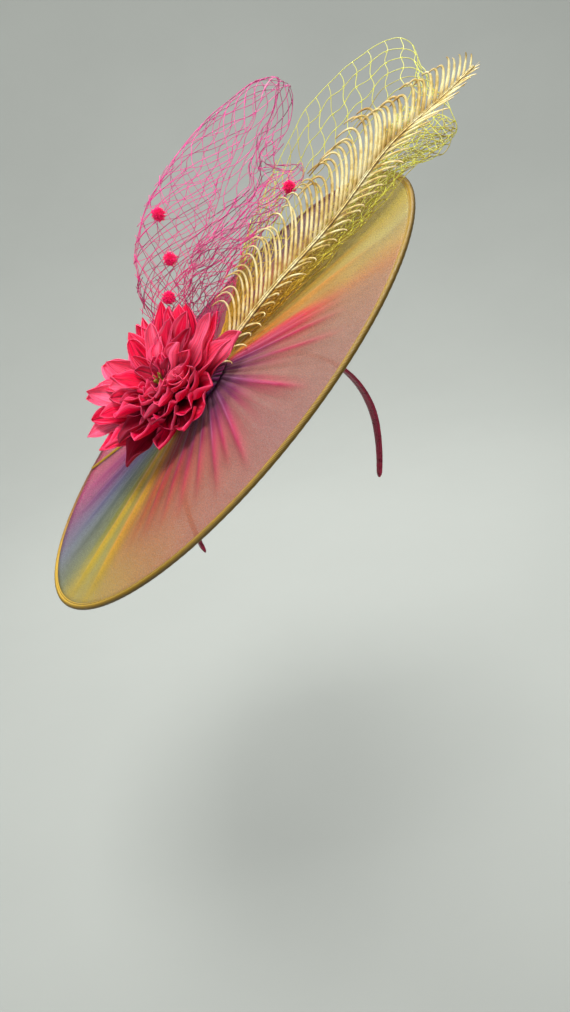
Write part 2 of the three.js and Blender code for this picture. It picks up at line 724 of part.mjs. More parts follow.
export default fascinator;
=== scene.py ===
"""Dress of a fascinator: pleated saucer, silk dahlia, two loops of net, chenille dots and a curled feather.

Shapes are worked out in millimetres, on the saucer's own axes where they sit on it, and stored in metres.
"""

import json
import logging
import math
from dataclasses import dataclass, field
from enum import Enum

import bpy
import numpy as np
from bpy.types import Material, Node, NodeSocket, NodeTree, Object
from mathutils import Matrix, Vector

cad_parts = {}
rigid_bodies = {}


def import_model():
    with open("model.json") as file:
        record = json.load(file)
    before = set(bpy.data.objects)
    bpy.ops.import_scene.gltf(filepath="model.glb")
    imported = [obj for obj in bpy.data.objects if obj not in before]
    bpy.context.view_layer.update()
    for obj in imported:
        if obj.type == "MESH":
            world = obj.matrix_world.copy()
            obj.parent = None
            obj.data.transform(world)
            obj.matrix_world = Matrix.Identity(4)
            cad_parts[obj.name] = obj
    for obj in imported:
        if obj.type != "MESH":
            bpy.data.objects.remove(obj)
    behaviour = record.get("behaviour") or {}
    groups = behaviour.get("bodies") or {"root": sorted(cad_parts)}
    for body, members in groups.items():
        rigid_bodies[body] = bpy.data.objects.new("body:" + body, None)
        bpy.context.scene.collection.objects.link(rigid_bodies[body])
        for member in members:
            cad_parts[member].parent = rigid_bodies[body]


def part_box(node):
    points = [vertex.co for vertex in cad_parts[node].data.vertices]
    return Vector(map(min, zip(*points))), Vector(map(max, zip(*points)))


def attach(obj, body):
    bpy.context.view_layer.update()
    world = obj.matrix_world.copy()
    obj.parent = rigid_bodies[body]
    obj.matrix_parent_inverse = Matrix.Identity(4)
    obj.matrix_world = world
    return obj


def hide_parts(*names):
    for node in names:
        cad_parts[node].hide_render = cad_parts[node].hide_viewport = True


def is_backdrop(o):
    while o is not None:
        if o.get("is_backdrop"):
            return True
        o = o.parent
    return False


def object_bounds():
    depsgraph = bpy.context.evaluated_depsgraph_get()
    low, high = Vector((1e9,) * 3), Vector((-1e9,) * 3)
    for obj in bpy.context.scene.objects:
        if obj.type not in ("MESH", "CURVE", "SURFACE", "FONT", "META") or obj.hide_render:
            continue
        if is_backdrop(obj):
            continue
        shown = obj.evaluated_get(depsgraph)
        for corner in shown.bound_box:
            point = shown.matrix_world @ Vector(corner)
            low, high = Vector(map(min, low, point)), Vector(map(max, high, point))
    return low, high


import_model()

Array = np.ndarray
Colour = tuple[float, float, float, float]
MM = 0.001
TURN = 2 * math.pi
BODY = "root"
log = logging.getLogger("fascinator")


# Numbers and curves


def tint(red: int, green: int, blue: int) -> Colour:
    """Linear colour of an 8-bit screen colour.

    Args:
        red, green, blue: Channels from 0 to 255.

    Returns:
        Linear red, green, blue and an alpha of 1.
    """
    screen = np.array([red, green, blue]) / 255
    linear = np.where(screen <= 0.04045, screen / 12.92, ((screen + 0.055) / 1.055) ** 2.4)
    return (*map(float, linear), 1.0)


def unit(vectors: Array) -> Array:
    """Vectors of length 1: each is divided by its own length."""
    return vectors / np.maximum(np.linalg.norm(vectors, axis=-1, keepdims=True), 1e-9)


def table(rows: list[tuple[float, float]], share: Array) -> Array:
    """Linear reading of a table of (share, value) rows."""
    at, value = np.array(rows).T
    return np.interp(share, at, value)


def smooth_step(low: float, high: float, value: Array) -> Array:
    """Rise from 0 at low to 1 at high: t * t * (3 - 2 t), with t the clipped share of the way."""
    share = np.clip((value - low) / (high - low), 0, 1)
    return share * share * (3 - 2 * share)


def ripple(x: Array, y: Array, pitch: float, seed: int, waves: int = 7) -> Array:
    """Smooth crumple over a plane, about -1 to 1.

    It is the mean of plane waves sin(k (x cos h + y sin h) + p), each with its own heading h,
    phase p and wave number k near one turn per pitch.

    Args:
        x, y: Place in millimetres, of one shape.
        pitch: Usual distance between two crests.
        seed: Seed of the headings and phases.
        waves: Number of waves.

    Returns:
        Heights of the shape of x.
    """
    rng = np.random.default_rng(seed)
    heading, phase = rng.uniform(0, TURN, (2, waves))
    number = TURN / pitch * rng.uniform(0.55, 1.5, waves)
    angle = x[..., None] * (number * np.cos(heading)) + y[..., None] * (number * np.sin(heading)) + phase
    return 1.7 * np.sin(angle).mean(-1)


def smooth_curve(knots: Array, share: Array) -> Array:
    """Points on the centripetal spline through the knots.

    Each knot takes an equal part of the share. Between two knots the point is the cubic
    p1 + t1 w + (3 (p2 - p1) - 2 t1 - t2) w^2 + (2 (p1 - p2) + t1 + t2) w^3, whose end slopes t1 and t2
    come from the square roots of the distances between the four knots around it.

    Args:
        knots: Knots, n by 3.
        share: Places from 0 to 1, of any shape.

    Returns:
        Points of the shape of share, with a last axis of 3.
    """
    ends = np.vstack([2 * knots[0] - knots[1], knots, 2 * knots[-1] - knots[-2]])
    place = np.clip(share, 0, 1) * (len(knots) - 1)
    low = np.minimum(place.astype(int), len(knots) - 2)
    w = (place - low)[..., None]
    p0, p1, p2, p3 = (ends[low + step] for step in range(4))
    d0, d1, d2 = (
        np.maximum(np.sum((b - a) ** 2, axis=-1, keepdims=True) ** 0.25, 1e-4)
        for a, b in ((p0, p1), (p1, p2), (p2, p3))
    )
    t1 = ((p1 - p0) / d0 - (p2 - p0) / (d0 + d1) + (p2 - p1) / d1) * d1
    t2 = ((p2 - p1) / d1 - (p3 - p1) / (d1 + d2) + (p3 - p2) / d2) * d1
    return p1 + t1 * w + (3 * (p2 - p1) - 2 * t1 - t2) * w**2 + (2 * (p1 - p2) + t1 + t2) * w**3


def bezier(points: list[Array], share: Array) -> Array:
    """Points on a cubic with four control points, weighted by the binomials of share and 1 - share."""
    rest = 1 - share
    weights = [rest**3, 3 * rest**2 * share, 3 * rest * share**2, share**3]
    return sum(weight[..., None] * point for weight, point in zip(weights, points))


def polar(radius: Array, turn: Array, height: Array) -> Array:
    """Points at a radius, an angle in radians and a height, of any shapes that fit each other."""
    return np.stack(np.broadcast_arrays(radius * np.cos(turn), radius * np.sin(turn), height), axis=-1)


def polar_grid(rings: int, spokes: int, first: float = 0.0) -> tuple[Array, Array]:
    """Angles from the first one on and shares of the radius up to 1, both rings by spokes."""
    return np.meshgrid(first + TURN * np.arange(spokes) / spokes, np.linspace(1 / rings, 1, rings))


def node_box(node: str) -> tuple[Array, Array]:
    """Lowest and highest corner of a node's solid, in millimetres."""
    low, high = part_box(node)
    return np.array(low) / MM, np.array(high) / MM


# Meshes

# Row and column steps from a quad's first corner to each of its corners
CORNERS = ((0, 0), (1, 0), (1, 1), (0, 1))


def ring_quads(index: Array) -> Array:
    """Quads between rings of point numbers, each of which closes on itself."""
    after = np.roll(index, -1, axis=1)
    return np.stack([index[:-1], index[1:], after[1:], after[:-1]], axis=-1).reshape(-1, 4)


def coords_of(*corners: tuple) -> Array:
    """Coords of faces, from a pair of arrays or numbers for each corner: faces by corners by 2."""
    faces = np.stack([np.stack(np.broadcast_arrays(*pair), axis=-1) for pair in corners], axis=-2)
    return faces.reshape(-1, len(corners), 2)


def swept_coords(around: Array, step: float, start: Array, end: Array) -> Array:
    """Coords (share round, length along) of the quads that a section sweeps.

    Args:
        around: Share round at the first side of each quad.
        step: Share between two sides.
        start, end: Length along at the two ends of each quad.

    Returns:
        Coords of quads whose corners go along, round and back.
    """
    return coords_of((around, start), (around, end), (around + step, end), (around + step, start))


@dataclass
class Surface:
    """Points in millimetres, faces of one or more sizes, and what the materials read.

    coords has one pair for each corner of each face, and mark has one number for each point.
    """

    points: Array
    faces: list[Array]
    coords: list[Array]
    mark: Array

    @staticmethod
    def joined(parts: list["Surface"]) -> "Surface":
        """One surface of all the parts, with each part's faces counted on."""
        starts = np.cumsum([0] + [len(part.points) for part in parts])
        return Surface(
            np.concatenate([part.points for part in parts]),
            [face + start for part, start in zip(parts, starts) for face in part.faces],
            [coord for part in parts for coord in part.coords],
            np.concatenate([part.mark for part in parts]),
        )


def tubes(
    paths: Array, radius: Array, normals: Array,
    sides: int = 4, flat: float = 1.0, mark: Array | None = None,
) -> Surface:
    """Closed round or flattened tubes along many paths at once.

    A point of a tube is path + radius (cos t side + flat sin t up), where side is tangent x normal,
    up is side x tangent and t goes once round.

    Args:
        paths: Centre lines, strands by stations by 3.
        radius: Radii that fit strands by stations.
        normals: Directions that fit the paths, never along them.
        sides: Points round each tube.
        flat: Height of the section as a share of its width.
        mark: A number for each strand.

    Returns:
        The tubes, with coords (share round, length along).
    """
    strands, stations = paths.shape[:2]
    radius = np.broadcast_to(radius, (strands, stations))
    tangent = unit(np.gradient(paths, axis=1))
    side = unit(np.cross(tangent, np.broadcast_to(normals, paths.shape)))
    up = np.cross(side, tangent)
    turn = TURN * (np.arange(sides) + 0.5) / sides
    ring = np.cos(turn)[:, None] * side[:, :, None] + flat * np.sin(turn)[:, None] * up[:, :, None]
    points = paths[:, :, None] + radius[:, :, None, None] * ring
    index = np.arange(strands * stations * sides).reshape(strands, stations, sides)
    low, high = index[:, :-1], index[:, 1:]
    quads = np.stack([low, high, np.roll(high, -1, axis=2), np.roll(low, -1, axis=2)], axis=-1)
    length = np.linalg.norm(np.diff(paths, axis=1), axis=-1).cumsum(axis=1)
    along = np.concatenate([np.zeros((strands, 1)), length], axis=1)[:, :, None]
    coords = swept_coords(np.arange(sides) / sides, 1 / sides, along[:, :-1], along[:, 1:])
    caps = np.concatenate([index[:, 0], index[:, -1, ::-1]])
    ends = np.zeros((len(caps), sides, 2))
    ends[strands:, :, 1] = along[:, -1]
    if mark is None:
        mark = np.zeros(strands)
    return Surface(
        points.reshape(-1, 3),
        [quads.reshape(-1, 4), caps],
        [coords, ends],
        np.repeat(mark, stations * sides),
    )


def shells(points: Array, thick: Array | float, mark: Array) -> Surface:
    """Closed thin walls over many open grids at once.

    The two faces are the grid plus and minus half the thickness along its normal, which is the
    cross product of its two slopes, and four strips close the borders.

    Args:
        points: Grids, pieces by rows by columns by 3.
        thick: Wall that fits pieces by rows by columns.
        mark: A number for each piece.

    Returns:
        The walls, with coords (share of the columns, share of the rows).
    """
    pieces, rows, columns = points.shape[:3]
    normal = unit(np.cross(np.gradient(points, axis=1), np.gradient(points, axis=2)))
    half = np.broadcast_to(thick, (pieces, rows, columns))[..., None] / 2
    top = np.arange(pieces * rows * columns).reshape(pieces, rows, columns)
    under = top + top.size
    i, j = np.meshgrid(np.arange(rows - 1), np.arange(columns - 1), indexing="ij")
    skin = np.stack([top[:, i + a, j + b] for a, b in CORNERS], axis=-1).reshape(-1, 4)

    def strip(near: Array, far: Array) -> Array:
        """Quads of a border between two rows of point numbers."""
        return np.stack([near[:, :-1], far[:, :-1], far[:, 1:], near[:, 1:]], axis=-1).reshape(-1, 4)

    borders = np.concatenate([
        strip(top[:, :, 0], under[:, :, 0]),
        strip(under[:, :, -1], top[:, :, -1]),
        strip(under[:, 0], top[:, 0]),
        strip(top[:, -1], under[:, -1]),
    ])
    faces = [skin, (skin + top.size)[:, ::-1], borders]
    lay = np.stack(np.meshgrid(np.linspace(0, 1, columns), np.linspace(0, 1, rows)), axis=-1)
    lay = np.tile(lay.reshape(-1, 2), (2 * pieces, 1))
    return Surface(
        np.concatenate([(points + normal * half).reshape(-1, 3), (points - normal * half).reshape(-1, 3)]),
        faces,
        [lay[face] for face in faces],
        np.tile(np.repeat(mark, rows * columns), 2),
    )


def round_shell(rings: Array, wall: float, up: Array, mark: Array) -> Surface:
    """A closed thin wall over rings round a pole, as a disc has.

    Args:
        rings: Rings from the inside out, rings by spokes by 3.
        wall: Thickness along up.
        up: Direction of the wall's thickness.
        mark: A number for each point of the rings.

    Returns:
        The wall, with coords (share of a turn, share of the radius).
    """
    count, spokes = rings.shape[:2]
    centre = rings[0].mean(axis=0, keepdims=True)
    face = np.concatenate([rings.reshape(-1, 3), centre])
    index = np.arange(count * spokes).reshape(count, spokes)
    after = np.roll(index, -1, axis=1)
    quads = ring_quads(index)
    fan = np.stack([np.full(spokes, count * spokes), index[0], after[0]], axis=-1)
    i, j = np.meshgrid(np.arange(count - 1), np.arange(spokes), indexing="ij")
    param = coords_of(*(((j + b) / spokes, (i + a + 1) / count) for a, b in CORNERS))
    spoke = np.arange(spokes) / spokes
    hub = coords_of((spoke, 0.0), (spoke, 1 / count), (spoke + 1 / spokes, 1 / count))
    low = len(face)
    edge = np.stack([index[-1], index[-1] + low, after[-1] + low, after[-1]], axis=-1)
    edge_param = coords_of(*((spoke + b, 1.0) for b in (0, 0, 1 / spokes, 1 / spokes)))
    marks = np.append(mark.reshape(-1), mark[0].mean())
    return Surface(
        np.concatenate([face + up * wall / 2, face - up * wall / 2]),
        [quads, fan, (quads + low)[:, ::-1], (fan + low)[:, ::-1], edge],
        [param, hub, param[:, ::-1], hub[:, ::-1], edge_param],
        np.tile(marks, 2),
    )


def put(
    name: str, surface: Surface, material: Material, slot: str,
    replaces: tuple[str, ...] = (), crisp: float = 180.0,
) -> Object:
    """A finished piece of the object, in metres with its object at the origin.

    Args:
        name: Name of the piece.
        surface: Its surface in millimetres.
        material: Its finish.
        slot: Material slot of the record; not used.
        replaces: Nodes that it stands for.
        crisp: Angle in degrees past which an edge is left sharp.

    Returns:
        The new object.
    """
    mesh = bpy.data.meshes.new(name)
    faces = [face for face in surface.faces if len(face)]
    corners = np.concatenate([face.reshape(-1) for face in faces])
    totals = np.concatenate([np.full(len(face), face.shape[1]) for face in faces])
    mesh.vertices.add(len(surface.points))
    mesh.vertices.foreach_set("co", (surface.points * MM).astype(np.float32).reshape(-1))
    mesh.loops.add(len(corners))
    mesh.loops.foreach_set("vertex_index", corners.astype(np.int32))
    mesh.polygons.add(len(totals))
    mesh.polygons.foreach_set("loop_start", (np.cumsum(totals) - totals).astype(np.int32))
    mesh.polygons.foreach_set("loop_total", totals.astype(np.int32))
    coords = np.concatenate([coord.reshape(-1, 2) for coord in surface.coords if len(coord)])
    mesh.uv_layers.new(name="lay").data.foreach_set("uv", coords.astype(np.float32).reshape(-1))
    mark = mesh.attributes.new("mark", "FLOAT", "POINT")
    mark.data.foreach_set("value", surface.mark.astype(np.float32))
    mesh.update(calc_edges=True)
    mesh.validate()
    mesh.polygons.foreach_set("use_smooth", np.ones(len(mesh.polygons), dtype=bool))
    if crisp < 180:
        mesh.set_sharp_from_angle(angle=math.radians(crisp))
    mesh.materials.append(material)
    piece = bpy.data.objects.new(name, mesh)
    bpy.context.scene.collection.objects.link(piece)
    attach(piece, BODY)
    if replaces:
        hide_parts(*replaces)
    log.info("%s: %d faces", name, len(mesh.polygons))
    return piece


@dataclass(frozen=True)
class SaucerAxes:
    """Axes of the saucer: u to +X and up, v to the back, n out of the upper side; angles in degrees."""

    tilt: float = 35.3
    lean: float = 11.2
    under_seat: float = 0.65

    def rows(self) -> Array:
        """The three axes as rows, from the tilt to the side and the lean to the back."""
        tilt, lean = math.radians(self.tilt), math.radians(self.lean)
        u = np.array([math.cos(tilt), 0, math.sin(tilt)])
        side = np.array([-math.sin(tilt), 0, math.cos(tilt)])
        ahead = np.array([0, 1.0, 0])
        v = math.cos(lean) * ahead - math.sin(lean) * side
        n = math.sin(lean) * ahead + math.cos(lean) * side
        return np.stack([u, v, n])

    def centre(self) -> Array:
        """Middle of the rim in millimetres, from the box of the lower organza."""
        low, high = node_box("brim_under")
        return (low + high) / 2 + self.under_seat * self.rows()[2]

    def world(self, points: Array) -> Array:
        """Points on the saucer's axes, moved to the frame's axes."""
        return self.centre() + points @ self.rows()

    def turn(self, vectors: Array) -> Array:
        """Directions on the saucer's axes, turned to the frame's axes."""
        return vectors @ self.rows()


# Node groups and finishes


class Bench:
    """A node tree with short calls that place and join nodes."""

    def __init__(self, tree: NodeTree) -> None:
        """Takes the tree to work on."""
        self.tree = tree

    def place(self, kind: str, joins: dict | None = None, **settings: object) -> Node:
        """A new node.

        Args:
            kind: Type of the node.
            joins: What each input takes: a socket to join or a value to set.
            settings: Properties of the node.

        Returns:
            The node.
        """
        node = self.tree.nodes.new(kind)
        for key, value in settings.items():
            setattr(node, key, value)
        for key, value in (joins or {}).items():
            if isinstance(value, NodeSocket):
                self.tree.links.new(value, node.inputs[key])
            else:
                node.inputs[key].default_value = value
        return node

    def math(self, operation: str, a: object, b: object = 0.0, clamp: bool = False) -> NodeSocket:
        """Output of a Math node on two sockets or values."""
        return self.place("ShaderNodeMath", {0: a, 1: b}, operation=operation, use_clamp=clamp).outputs[0]

    def times(self, a: object, b: object) -> NodeSocket:
        """Product of two sockets or values."""
        return self.math("MULTIPLY", a, b)

    def plus(self, a: object, b: object, clamp: bool = False) -> NodeSocket:
        """Sum of two sockets or values."""
        return self.math("ADD", a, b, clamp)

    def scaled(self, colour: object, factor: object) -> NodeSocket:
        """Colour made lighter or darker by a factor."""
        joins = {0: colour, "Scale": factor}
        return self.place("ShaderNodeVectorMath", joins, operation="SCALE").outputs[0]

    def spread(
        self, value: object, low: float, high: float, to_low: float = 0.0, to_high: float = 1.0,
    ) -> NodeSocket:
        """Output of a smooth, clamped Map Range node."""
        joins = {"Value": value, "From Min": low, "From Max": high, "To Min": to_low, "To Max": to_high}
        return self.place("ShaderNodeMapRange", joins, interpolation_type="SMOOTHSTEP").outputs[0]

    def ramp(self, value: object, stops: list[tuple[float, Colour]]) -> NodeSocket:
        """Colour of a ramp with the given stops."""
        node = self.place("ShaderNodeValToRGB", {0: value})
        elements = node.color_ramp.elements
        while len(elements) < len(stops):
            elements.new(0.5)
        for element, (at, colour) in zip(elements, sorted(stops)):
            element.position = at
        for element, (at, colour) in zip(elements, sorted(stops)):
            element.color = colour
        return node.outputs[0]

    def mix(self, share: object, first: object, second: object) -> NodeSocket:
        """Colour between two colours."""
        return self.place("ShaderNodeMix", {0: share, 6: first, 7: second}, data_type="RGBA").outputs[2]

    def noise(self, vector: object, scale: object, detail: float = 3.0, rough: float = 0.55) -> NodeSocket:
        """Height of a noise texture."""
        joins = {"Vector": vector, "Scale": scale, "Detail": detail, "Roughness": rough}
        return self.place("ShaderNodeTexNoise", joins).outputs[0]

    def bump(self, height: object, distance: float) -> NodeSocket:
        """Normal of a Bump node at full strength."""
        joins = {"Height": height, "Distance": distance, "Strength": 1.0}
        return self.place("ShaderNodeBump", joins).outputs[0]

    def objects(self) -> NodeSocket:
        """Object coordinates, in metres."""
        return self.place("ShaderNodeTexCoord").outputs["Object"]

    def lay(self) -> tuple[NodeSocket, NodeSocket]:
        """The two coords that a piece was laid out with."""
        coords = self.place("ShaderNodeUVMap", uv_map="lay").outputs[0]
        parts = self.place("ShaderNodeSeparateXYZ", {0: coords})
        return parts.outputs[0], parts.outputs[1]

    def mark(self) -> NodeSocket:
        """The number that each point of a piece carries."""
        return self.place("ShaderNodeAttribute", attribute_name="mark").outputs["Fac"]

    def vector(self, x: object, y: object, z: object = 0.0) -> NodeSocket:
        """A vector of three sockets or values."""
        return self.place("ShaderNodeCombineXYZ", {0: x, 1: y, 2: z}).outputs[0]

    def use(self, group: NodeTree, joins: dict) -> Node:
        """A placed node group with its inputs joined."""
        return self.place("ShaderNodeGroup", joins, node_tree=group)


def new_group(name: str, takes: dict[str, str], gives: dict[str, str]) -> tuple[Bench, Node, Node]:
    """An empty node group.

    Args:
        name: Name of the group.
        takes: Inputs by name, with their socket types.
        gives: Outputs by name, with their socket types.

    Returns:
        A bench on the group, its input node and its output node.
    """
    tree = bpy.data.node_groups.new(name, "ShaderNodeTree")
    for label, kind in takes.items():
        tree.interface.new_socket(label, in_out="INPUT", socket_type=kind)
    for label, kind in gives.items():
        tree.interface.new_socket(label, in_out="OUTPUT", socket_type=kind)
    bench = Bench(tree)
    return bench, bench.place("NodeGroupInput"), bench.place("NodeGroupOutput")


def weave_group() -> NodeTree:
    """Plain weave: two crossed sets of threads, of which the higher shows."""
    bench, takes, gives = new_group(
        "plain_weave",
        {"Vector": "NodeSocketVector", "Threads": "NodeSocketFloat"},
        {"Height": "NodeSocketFloat"},
    )
    parts = bench.place("ShaderNodeSeparateXYZ", {0: takes.outputs["Vector"]})
    phases = [bench.times(parts.outputs[axis], takes.outputs["Threads"]) for axis in (0, 1)]
    threads = [bench.math("ABSOLUTE", bench.math("SINE", phase)) for phase in phases]
    bench.tree.links.new(bench.math("MAXIMUM", *threads), gives.inputs["Height"])
    return bench.tree


def drift_group() -> NodeTree:
    """Dye that drifts: a soft noise makes the colour darker in some places and lighter in others."""
    bench, takes, gives = new_group(
        "dye_drift",
        {"Color": "NodeSocketColor", "Vector": "NodeSocketVector",
         "Scale": "NodeSocketFloat", "Amount": "NodeSocketFloat"},
        {"Color": "NodeSocketColor", "Height": "NodeSocketFloat"},
    )
    noise = bench.noise(takes.outputs["Vector"], takes.outputs["Scale"], 4.0)
    offset = bench.times(bench.math("SUBTRACT", noise, 0.5), takes.outputs["Amount"])
    factor = bench.plus(bench.times(offset, 2.0), 1.0)
    bench.tree.links.new(bench.scaled(takes.outputs["Color"], factor), gives.inputs["Color"])
    bench.tree.links.new(noise, gives.inputs["Height"])
    return bench.tree


WEAVE = weave_group()
DRIFT = drift_group()


def dressed(name: str, **constants: object) -> tuple[Material, Bench, Node]:
    """A material with a Principled shader.

    Args:
        name: Name of the material.
        constants: Values of the shader's own sockets, with _ for each space.

    Returns:
        The material, a bench on its nodes, and the shader.
    """
    material = bpy.data.materials.new(name)
    material.use_nodes = True
    shader = material.node_tree.nodes["Principled BSDF"]
    for key, value in constants.items():
        shader.inputs[key.replace("_", " ")].default_value = value
    return material, Bench(material.node_tree), shader


def drifted(bench: Bench, colour: object, place: object, scale: float, amount: float) -> Node:
    """The dye drift placed on a colour, with its outputs Color and Height."""
    return bench.use(DRIFT, {"Color": colour, "Vector": place, "Scale": scale, "Amount": amount})


def feed(bench: Bench, shader: Node, **joins: NodeSocket) -> None:
    """Joins sockets to the shader's inputs, named with _ for each space."""
    for key, socket in joins.items():
        bench.tree.links.new(socket, shader.inputs[key.replace("_", " ")])


class Face(Enum):
    """Which of the two layers of organza a finish is for."""

    UPPER = "upper"
    UNDER = "under"


@dataclass(frozen=True)
class Organza:
    """Sheer organza dyed in rainbow stripes, which the gather pulls into a fan of colours.

    The first coord is the share of a turn from the seam, and the second the share of the radius.
    """

    face: Face
    cover: float = 0.6
    threads: float = 9000.0
    plum: Colour = tint(96, 46, 66)

    # Colours by the share of a turn: the flat cloth, and the deeper dye where it folds
    ground = [
        (0.000, tint(196, 76, 104)), (0.030, tint(186, 66, 122)), (0.055, tint(152, 74, 122)),
        (0.080, tint(128, 100, 136)), (0.105, tint(122, 128, 142)), (0.130, tint(116, 122, 102)),
        (0.158, tint(138, 142, 80)), (0.176, tint(204, 182, 52)), (0.192, tint(170, 172, 90)),
        (0.206, tint(206, 172, 48)), (0.226, tint(206, 136, 56)), (0.256, tint(196, 114, 64)),
        (0.310, tint(190, 112, 84)), (0.380, tint(178, 114, 104)), (0.450, tint(178, 124, 100)),
        (0.488, tint(184, 128, 84)), (0.500, tint(198, 128, 62)), (0.510, tint(202, 148, 64)),
        (0.520, tint(200, 164, 74)), (0.531, tint(186, 160, 82)), (0.541, tint(204, 186, 96)),
        (0.549, tint(198, 172, 70)), (0.562, tint(204, 178, 46)), (0.600, tint(190, 166, 26)),
        (0.660, tint(190, 144, 28)), (0.730, tint(202, 130, 46)), (0.780, tint(188, 84, 56)),
        (0.840, tint(156, 26, 64)), (0.900, tint(186, 40, 92)), (1.000, tint(196, 76, 104)),
    ]
    folds = [
        (0.000, tint(150, 22, 62)), (0.050, tint(126, 30, 104)), (0.085, tint(84, 62, 118)),
        (0.110, tint(78, 86, 108)), (0.135, tint(80, 92, 74)), (0.160, tint(120, 120, 40)),
        (0.180, tint(204, 160, 16)), (0.206, tint(218, 160, 16)), (0.226, tint(204, 84, 30)),
        (0.250, tint(190, 44, 58)), (0.330, tint(172, 16, 66)), (0.400, tint(178, 12, 74)),
        (0.470, tint(186, 12, 64)), (0.502, tint(206, 30, 40)), (0.530, tint(206, 132, 24)),
        (0.600, tint(140, 112, 14)), (0.690, tint(196, 110, 22)), (0.740, tint(150, 14, 50)),
        (0.860, tint(110, 8, 48)), (1.000, tint(150, 22, 62)),
    ]

    def make(self) -> Material:
        """The material: ground by the turn, folds in a deeper dye, purple inwards, and fine threads."""
        material, bench, shader = dressed(
            f"organza_{self.face.value}", Roughness=0.5, Specular_IOR_Level=0.3,
            Sheen_Weight=0.06, Sheen_Roughness=0.4,
        )
        turn, out = bench.lay()
        place = bench.objects()
        # Dye that wanders a little off its angle, and the hair-thin folds near the gather
        wander = bench.times(bench.math("SUBTRACT", bench.noise(place, 22.0, 2.0), 0.5), 0.022)
        bent = bench.plus(turn, wander, clamp=True)
        drawn = bench.vector(bench.times(turn, 210.0), bench.times(out, 1.3))
        strands = bench.noise(drawn, 1.0, 4.0, 0.65)
        hair = bench.spread(strands, 0.36, 0.66)
        near = bench.spread(out, 0.95, 0.3)
        fold = bench.mark()
        ground = bench.ramp(bent, self.ground)
        # Folds take the deeper dye, which is purple inwards on the front part of the disc
        inner = bench.times(bench.spread(turn, 0.2, 0.3), bench.spread(turn, 0.5, 0.46))
        purple = bench.times(inner, bench.spread(out, 0.62, 0.24))
        dye = bench.mix(bench.times(purple, 0.9), bench.ramp(bent, self.folds), tint(104, 30, 92))
        fine = bench.times(bench.times(hair, near), 0.5)
        deep = bench.plus(bench.times(bench.math("POWER", fold, 0.75), 0.95), fine, clamp=True)
        colour = bench.mix(deep, ground, dye)
        colour = bench.mix(bench.times(inner, bench.spread(out, 0.2, 0.04)), colour, tint(92, 38, 92))
        # Painted highlight in pale lines on the sharpest folds, yellow ends of the stripes by the seam, plum in
        # the far part
        fold_highlight = bench.times(bench.spread(fold, 0.8, 1.0), bench.times(near, hair))
        colour = bench.mix(bench.times(fold_highlight, 0.34), colour, tint(214, 150, 196))
        tip = bench.times(bench.spread(out, 0.7, 1.0), bench.spread(turn, 0.33, 0.2))
        tip = bench.times(tip, bench.spread(turn, 0.14, 0.175))
        colour = bench.mix(bench.times(tip, 0.8), colour, tint(196, 166, 34))
        far = bench.times(bench.spread(turn, 0.63, 0.67), bench.spread(turn, 0.84, 0.77))
        far = bench.times(far, bench.spread(out, 0.56, 0.8))
        colour = bench.mix(bench.times(far, 0.88), colour, self.plum)
        # Grain of the weave, whose bright specks are partly a painted glint, faint bands where the two layers
        # cross, and how much the cloth covers
        grain = bench.spread(bench.noise(place, 1300.0, 2.0), 0.36, 0.64)
        bands = {"Vector": place, "Scale": 150.0, "Distortion": 40.0, "Detail": 3.0, "Detail Scale": 0.25}
        moire = bench.place("ShaderNodeTexWave", bands, wave_type="BANDS").outputs["Fac"]
        grain_and_glint = bench.plus(bench.times(grain, 0.2), bench.times(moire, 0.05))
        tone = drifted(bench, bench.scaled(colour, bench.plus(grain_and_glint, 0.64)), place, 46.0, 0.14)
        cover = bench.plus(bench.times(deep, 0.5), bench.times(grain_and_glint, 0.7))
        cover = bench.plus(cover, self.cover - 0.16, clamp=True)
        cover = bench.math("MAXIMUM", cover, bench.spread(out, 0.26, 0.1))
        threads = bench.use(WEAVE, {"Vector": place, "Threads": self.threads})
        normal = bench.bump(bench.plus(threads.outputs[0], bench.times(strands, 3.0)), 0.00012)
        feed(bench, shader, Base_Color=tone.outputs["Color"], Alpha=cover, Normal=normal)
        return material


@dataclass(frozen=True)
class Binding:
    """Olive gold ribbon round a wire, with a painted highlight on its inner side and painted shade on its outer
    side, that takes the brim's colour at the back.
    """

    light: Colour = tint(208, 168, 42)
    dark: Colour = tint(76, 56, 3)
    back: Colour = tint(86, 10, 34)
    left: Colour = tint(74, 70, 72)

    def make(self) -> Material:
        """The material: a painted highlight on the inner edge, painted shade on the outer edge, slanting ribs
        and a soft sheen.
        """
        material, bench, shader = dressed("gold_binding", Roughness=0.42, Specular_IOR_Level=0.35)
        around, along = bench.lay()
        place = bench.objects()
        # Round each section: a painted highlight on the upper inner side and painted shade on the outer side
        base = bench.ramp(around, [
            (0.0, self.dark), (0.2, tint(138, 106, 10)), (0.42, self.light), (0.56, tint(160, 126, 16)),
            (0.8, tint(118, 90, 6)), (1.0, self.dark),
        ])
        base = bench.mix(bench.mark(), base, self.back)
        ribs = bench.math("SINE", bench.plus(bench.times(along, 7.5), bench.times(around, 12.0)))
        tone = drifted(bench, base, place, 160.0, 0.35)
        rough = bench.spread(tone.outputs["Height"], 0.3, 0.7, 0.34, 0.55)
        normal = bench.bump(ribs, 0.00009)
        feed(bench, shader, Base_Color=tone.outputs["Color"], Roughness=rough, Normal=normal)
        return material


